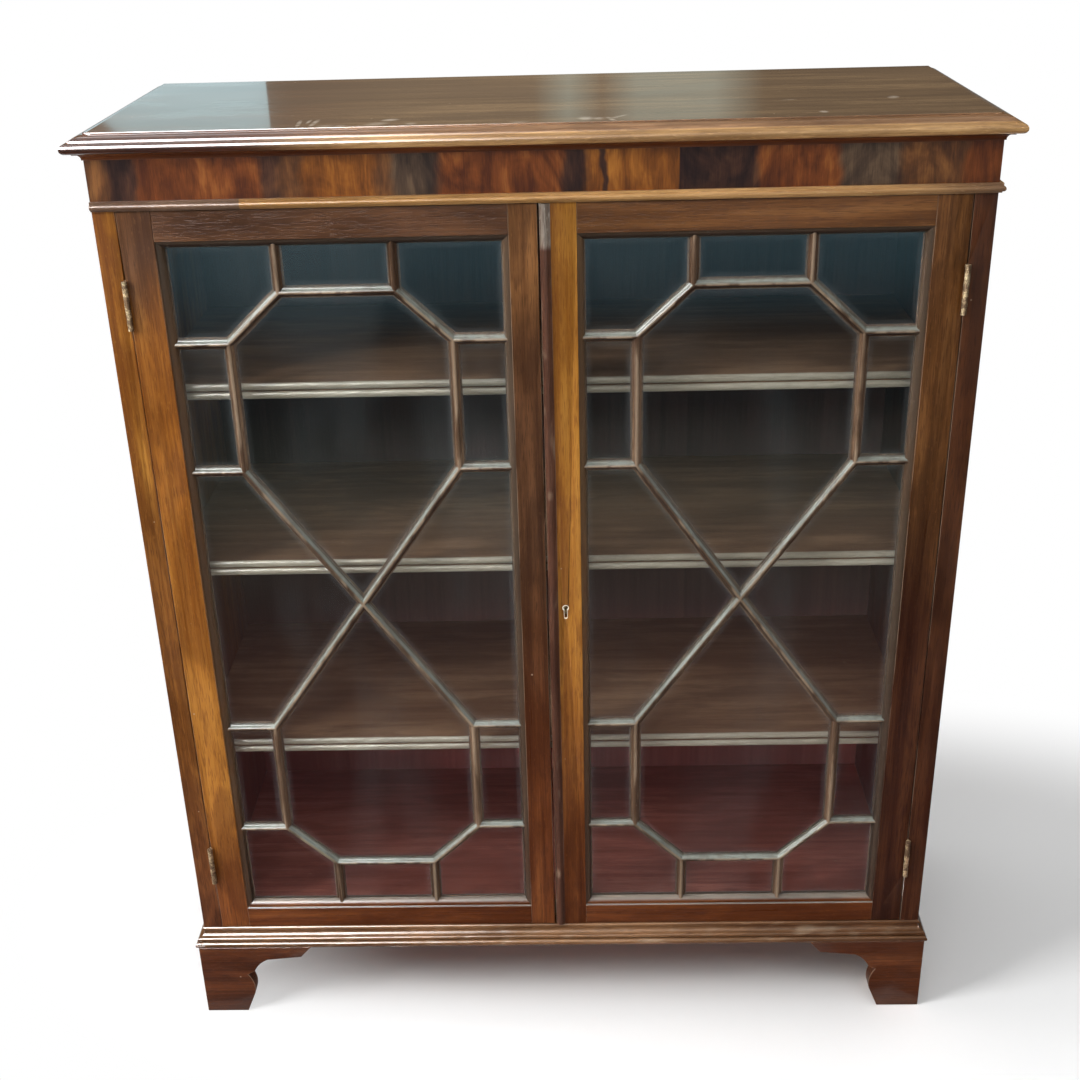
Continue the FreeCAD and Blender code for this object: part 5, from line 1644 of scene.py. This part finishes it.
@dataclass
class Door:
    """One glazed door: frame, astragal bars and panes."""

    shop: Shop
    hand: Hand
    frame_ease: float = 0.6 * MM
    bead_r: float = 3.0 * MM
    bead_set: float = 5.0 * MM
    quirk: float = 0.8 * MM
    bar_w: float = 12.0 * MM
    rib_t: float = 3.5 * MM
    glass_depth: float = 12.0 * MM
    rib_end: float = 22.0 * MM
    stile_w: float = 41.5 * MM
    centre_flat: float = 81.0 * MM
    top_rail: float = 37.3 * MM
    bottom_rail: float = 33.2 * MM
    side_light: float = 72.6 * MM
    corner_run: float = 68.0 * MM
    corner_drop: float = 63.6 * MM
    side_light_h: float = 171.2 * MM
    top_light_h: float = 67.2 * MM
    bottom_light_h: float = 76.5 * MM

    # Steps in the bar's outline, how squarely a pane's face looks forward, and the rings of the film with its painted
    # sky reflection.
    BEAD_STEPS = 10
    COVE_STEPS = 4
    BROAD = 0.9
    RIM_FILM = ((2.5 * MM, 0.55), (4 * MM, 0.18), (7 * MM, 0.0))

    def node(self, name: str) -> str:
        """Name of one of this door's solids."""
        return f"{self.hand.value}_{name}"

    def build(self) -> None:
        """Shape and finish the door."""
        finishes = TIMBERS[self.hand].finishes(self.hand)
        bars = finishes.pop("glazing_bars")
        for name, finish in finishes.items():
            work = Workpiece(self.node(name), self.frame_ease)
            work.mark_sunk(1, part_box(work.node)[0].y, self.glass_depth + self.quirk)
            work.ease_arrises()
            self.shop.complete(work, finish)
        self.bars(bars)
        self.panes()
        self.shop.keep(self.node("putty"), Putty("old_putty"))

    def bar_lines(self) -> list[tuple[tuple[float, float], tuple[float, float]]]:
        """Middle line of every bar.

        Returns:
            Pairs of (x, z) points: two tall octagons' bars and the saltire between them.
        """
        low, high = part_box(self.node("hanging_stile"))
        edge = abs(low.x) if self.hand is Hand.LEFT else high.x
        near, far = self.centre_flat / 2, edge - self.stile_w
        foot, top = low.z + self.bottom_rail, high.z - self.top_rail
        columns = {-2: near + self.side_light, 2: far - self.side_light}
        columns[-1] = columns[-2] + self.corner_run
        columns[1] = columns[2] - self.corner_run
        waists = {1: top - self.top_light_h - self.corner_drop - self.side_light_h,
                  -1: foot + self.bottom_light_h + self.corner_drop + self.side_light_h}
        crossing = ((near + far) / 2, (waists[1] + waists[-1]) / 2)
        lines = []
        for up, end, level in ((1, top, top - self.top_light_h), (-1, foot, foot + self.bottom_light_h)):
            shoulder = level - up * self.corner_drop
            lines.append(((columns[-1], level), (columns[1], level)))
            for side, wall in ((-1, near), (1, far)):
                inner = (columns[side], level)
                outer = (columns[2 * side], shoulder)
                waist = (columns[2 * side], waists[up])
                lines += [(inner, (inner[0], end)), (inner, outer), (outer, (wall, outer[1])),
                          (outer, waist), (waist, (wall, waist[1])), (waist, crossing)]
        return lines

    def section(self) -> Object:
        """Outline of a bar: half-round bead, coves down to the glass, and a rib behind.

        Returns:
            A closed curve with depth behind the door's face as X and the place across the bar as Y.
        """
        spring = self.bead_set + self.bead_r
        half = self.bar_w / 2
        cove_x = half - self.bead_r
        cove_y = self.glass_depth - 2 * self.quirk - spring
        turns = [math.pi * k / self.BEAD_STEPS for k in range(self.BEAD_STEPS + 1)]
        points = [(spring - self.bead_r * math.sin(turn), -self.bead_r * math.cos(turn)) for turn in turns]
        turns = [math.pi * k / (2 * self.COVE_STEPS) for k in range(self.COVE_STEPS + 1)]
        side = [(spring + self.quirk + cove_y * math.sin(turn), half - cove_x * math.cos(turn)) for turn in turns]
        side += [(self.glass_depth, half), (self.glass_depth, self.rib_t / 2), (self.rib_end, self.rib_t / 2)]
        points += side + [(self.rib_end, 0.0)] + [(depth, -across) for depth, across in reversed(side)]
        outline = bpy.data.curves.new("bar_section", "CURVE")
        outline.dimensions = "2D"
        spline = outline.splines.new("POLY")
        spline.points.add(len(points) - 1)
        for point, (depth, across) in zip(spline.points, points):
            point.co = (depth, across, 0.0, 1.0)
        spline.use_cyclic_u = True
        return add_object("bar_section", outline)

    def bar_layout(self) -> Mesh:
        """Bars' middle lines, each end carrying the slopes of its mitres.

        Returns:
            A mesh of separate edges with the point attributes way, steep and shallow.
        """
        lines = [[Vector((self.hand.sign * x, 0.0, z)) for x, z in pair] for pair in self.bar_lines()]
        ways: dict[tuple[float, float], list[Vector]] = {}
        for start, end in lines:
            for joint, far in ((start, end), (end, start)):
                ways.setdefault((round(joint.x, 5), round(joint.z, 5)), []).append((far - joint).normalized())
        layout = bpy.data.meshes.new("bar_lines")
        face = Vector((0.0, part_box(self.node("top_rail"))[0].y, 0.0))
        layout.from_pydata([point + face for line in lines for point in line],
                           [(2 * k, 2 * k + 1) for k in range(len(lines))], [])
        way = layout.attributes.new("way", "FLOAT_VECTOR", "POINT")
        steep = layout.attributes.new("steep", "FLOAT", "POINT")
        shallow = layout.attributes.new("shallow", "FLOAT", "POINT")
        for index, (start, end) in enumerate(lines):
            run = (end - start).normalized()
            across = Vector((-run.z, 0.0, run.x))
            for side, joint, out in ((0, start, run), (1, end, -run)):
                others = [w for w in ways[(round(joint.x, 5), round(joint.z, 5))] if (w - out).length > 0.01]
                slopes = [other.dot(across) / (1 - other.dot(out)) for other in others] or [0.0]
                way.data[2 * index + side].vector = out
                steep.data[2 * index + side].value = max(slopes)
                shallow.data[2 * index + side].value = min(slopes)
        return layout

    def bars(self, finish: Finish) -> None:
        """Sweep the astragal section along every bar's line and mitre the ends.

        Args:
            finish: the bars' finish.
        """
        section = self.section()
        node = self.node("glazing_bars")
        piece = self.bar_pattern().grow(f"{node}_finished", self.bar_layout(), {
            "Section": section, "Crown Depth": self.bead_set + self.quirk, "Finish": self.shop.material(finish)})
        bpy.data.objects.remove(section)
        self.shop.stand_in(piece, node)

    def bar_pattern(self) -> Pattern:
        """Tree that sweeps a section along lines and slides the ends back to their mitres.

        Returns:
            The pattern.
        """
        made = Pattern(self.node("astragal_sweep"), {"Section": "Object", "Crown Depth": "Float"})
        g = made.graph
        section = g.node("GeometryNodeObjectInfo", {"Object": made.inputs["Section"]}).outputs["Geometry"]
        depth, across, _ = g.parts(g.out("GeometryNodeInputPosition"))
        crown = g.math("LESS_THAN", depth, made.inputs["Crown Depth"])
        profile = g.store(g.store(section, "rubbed", crown), "across", across)
        lines = g.out("GeometryNodeMeshToCurve", {"Mesh": made.inputs["Geometry"]})
        turned = g.out("GeometryNodeSetCurveNormal", {"Curve": lines, "Normal": Vector((0, 1, 0))}, mode="FREE")
        sweep = g.out("GeometryNodeCurveToMesh", {"Curve": turned, "Profile Curve": profile, "Fill Caps": True})
        place = g.named("across")
        slide = g.math("MAXIMUM", g.product(place, g.named("steep")), g.product(place, g.named("shallow")))
        offset = g.out("ShaderNodeVectorMath", {0: g.named("way", "FLOAT_VECTOR"), "Scale": slide}, operation="SCALE")
        made.end(g.out("GeometryNodeSetPosition", {"Geometry": sweep, "Offset": offset}))
        return made

    def panes(self) -> None:
        """Panes with rings inside their edges that carry the strength of the film and its painted sky reflection."""
        work = Workpiece(self.node("glass"))
        rim = work.mesh.verts.layers.float.new("rim")
        for vert in work.mesh.verts:
            vert[rim] = 1.0
        broad = [f for f in work.mesh.faces if abs(f.normal.y) > self.BROAD]
        for width, strength in self.RIM_FILM:
            bmesh.ops.inset_individual(work.mesh, faces=broad, thickness=width, use_even_offset=True)
            for face in broad:
                for vert in face.verts:
                    vert[rim] = strength
        self.shop.complete(work, PaneGlass("old_glass"))


# ---------------------------------------------------------------- brass
@dataclass
class Hardware:
    """Hinges, screws, pegs, lock, bolts and the closing bead."""

    shop: Shop
    brass_ease: float = 0.2 * MM
    bead_ease: float = 0.3 * MM
    dent_pitch: float = 5.0 * MM

    # How far out a pin's widest ring lies, as a share of its radius, and what counts as its middle.
    OUTER = 0.9
    EVEN = 0.01 * MM

    def build(self) -> None:
        """Finish the fittings."""
        hinge = Metal("hinge_brass", (0.52, 0.42, 0.25), (0.070, 0.042, 0.022), 0.54, 0.36)
        bolt = Metal("bolt_brass", (0.66, 0.51, 0.27), (0.14, 0.09, 0.045), 0.46, 0.30)
        # The keyhole lining is painted near white as a glint, with little metal.
        lining = Metal("keyhole_brass_painted_glint", (0.95, 0.88, 0.72), (0.50, 0.40, 0.26), 0.36, 0.28, 0.25)
        for node in ("hinge_case_leaves", "left_hinge_leaves", "right_hinge_leaves"):
            self.shop.plain(node, hinge, self.brass_ease)
        self.shop.keep("hinge_pins", hinge)
        screws = Screw().pattern("slotted_screws")
        for seed, node in enumerate(("hinge_case_screws", "left_hinge_screws", "right_hinge_screws")):
            self.turn(node, screws, Screw().values(seed, self.shop.material(hinge)))
        beech = self.shop.material(Deal("peg_beech", Grain.ACROSS_CASE, 3.0, tone=Tones.BEECH))
        self.turn("shelf_pegs", Peg().pattern("turned_pegs"), Peg().values(9, beech))
        for node in ("left_bolt_plates", "left_top_bolt", "left_bottom_bolt", "lock_bolt", "lock_case"):
            self.shop.plain(node, bolt, self.brass_ease)
        self.shop.keep("escutcheon", lining)
        self.closing_bead()

    def turn(self, node: str, pattern: Pattern, values: dict[str, object]) -> None:
        """Put turned pieces in the place of a solid's round pins."""
        self.shop.stand_in(pattern.grow(f"{node}_finished", self.pin_seats(node), values), node)

    def closing_bead(self) -> None:
        """The bead on the right door, worn and dented by use."""
        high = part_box("closing_bead")[1].z
        scraped = Fade(Tones.GREY_TAN, high - 0.056, high - 0.046, wander=0.05)
        bead = Mahogany("closing_bead_polish", Grain.UPRIGHT, Tones.WORN_WHITE, 20.0, (scraped,), sheen=0.45,
                        gloss=0.2, rub=0.32, chips=0.05)
        work = Workpiece("closing_bead", self.bead_ease)
        work.ease_arrises()
        work.slice(2, self.dent_pitch)
        work.dent(Vector((90, 90, 38)), 1.1 * MM, 0.66, 4.0, Vector((0, -1, 0)))
        self.shop.complete(work, bead)

    def pin_seats(self, node: str) -> Mesh:
        """Where a node's round pins start and the way they run.

        Args:
            node: a solid made of pins that lie along X.

        Returns:
            Points for turned pieces, at each pin's wide end.
        """
        places = []
        work = Workpiece(node)
        for part in islands(work.mesh):
            low, high = (Vector([pick(v.co[axis] for v in part) for axis in range(3)]) for pick in (min, max))
            centre = (low + high) / 2
            reach = (high.z - low.z) / 2
            wide = [v.co.x for v in part if math.hypot(v.co.y - centre.y, v.co.z - centre.z) > self.OUTER * reach]
            way = 1 if sum(wide) / len(wide) < centre.x + self.EVEN else -1
            places.append((Vector((low.x if way > 0 else high.x, centre.y, centre.z)), Vector((way, 0, 0))))
        return seats(places, f"{node}_seats")


def main() -> None:
    """Build the stage, then the case from its carcase outwards."""
    logging.basicConfig(level=logging.INFO, format="%(message)s")
    Stage().build()
    shop = Shop()
    doors = [Door(shop, hand) for hand in Hand]
    for group in (Carcase(shop), TopAndFrieze(shop), Base(shop), *doors, Hardware(shop)):
        group.build()


if __name__ == "__main__":
    main()
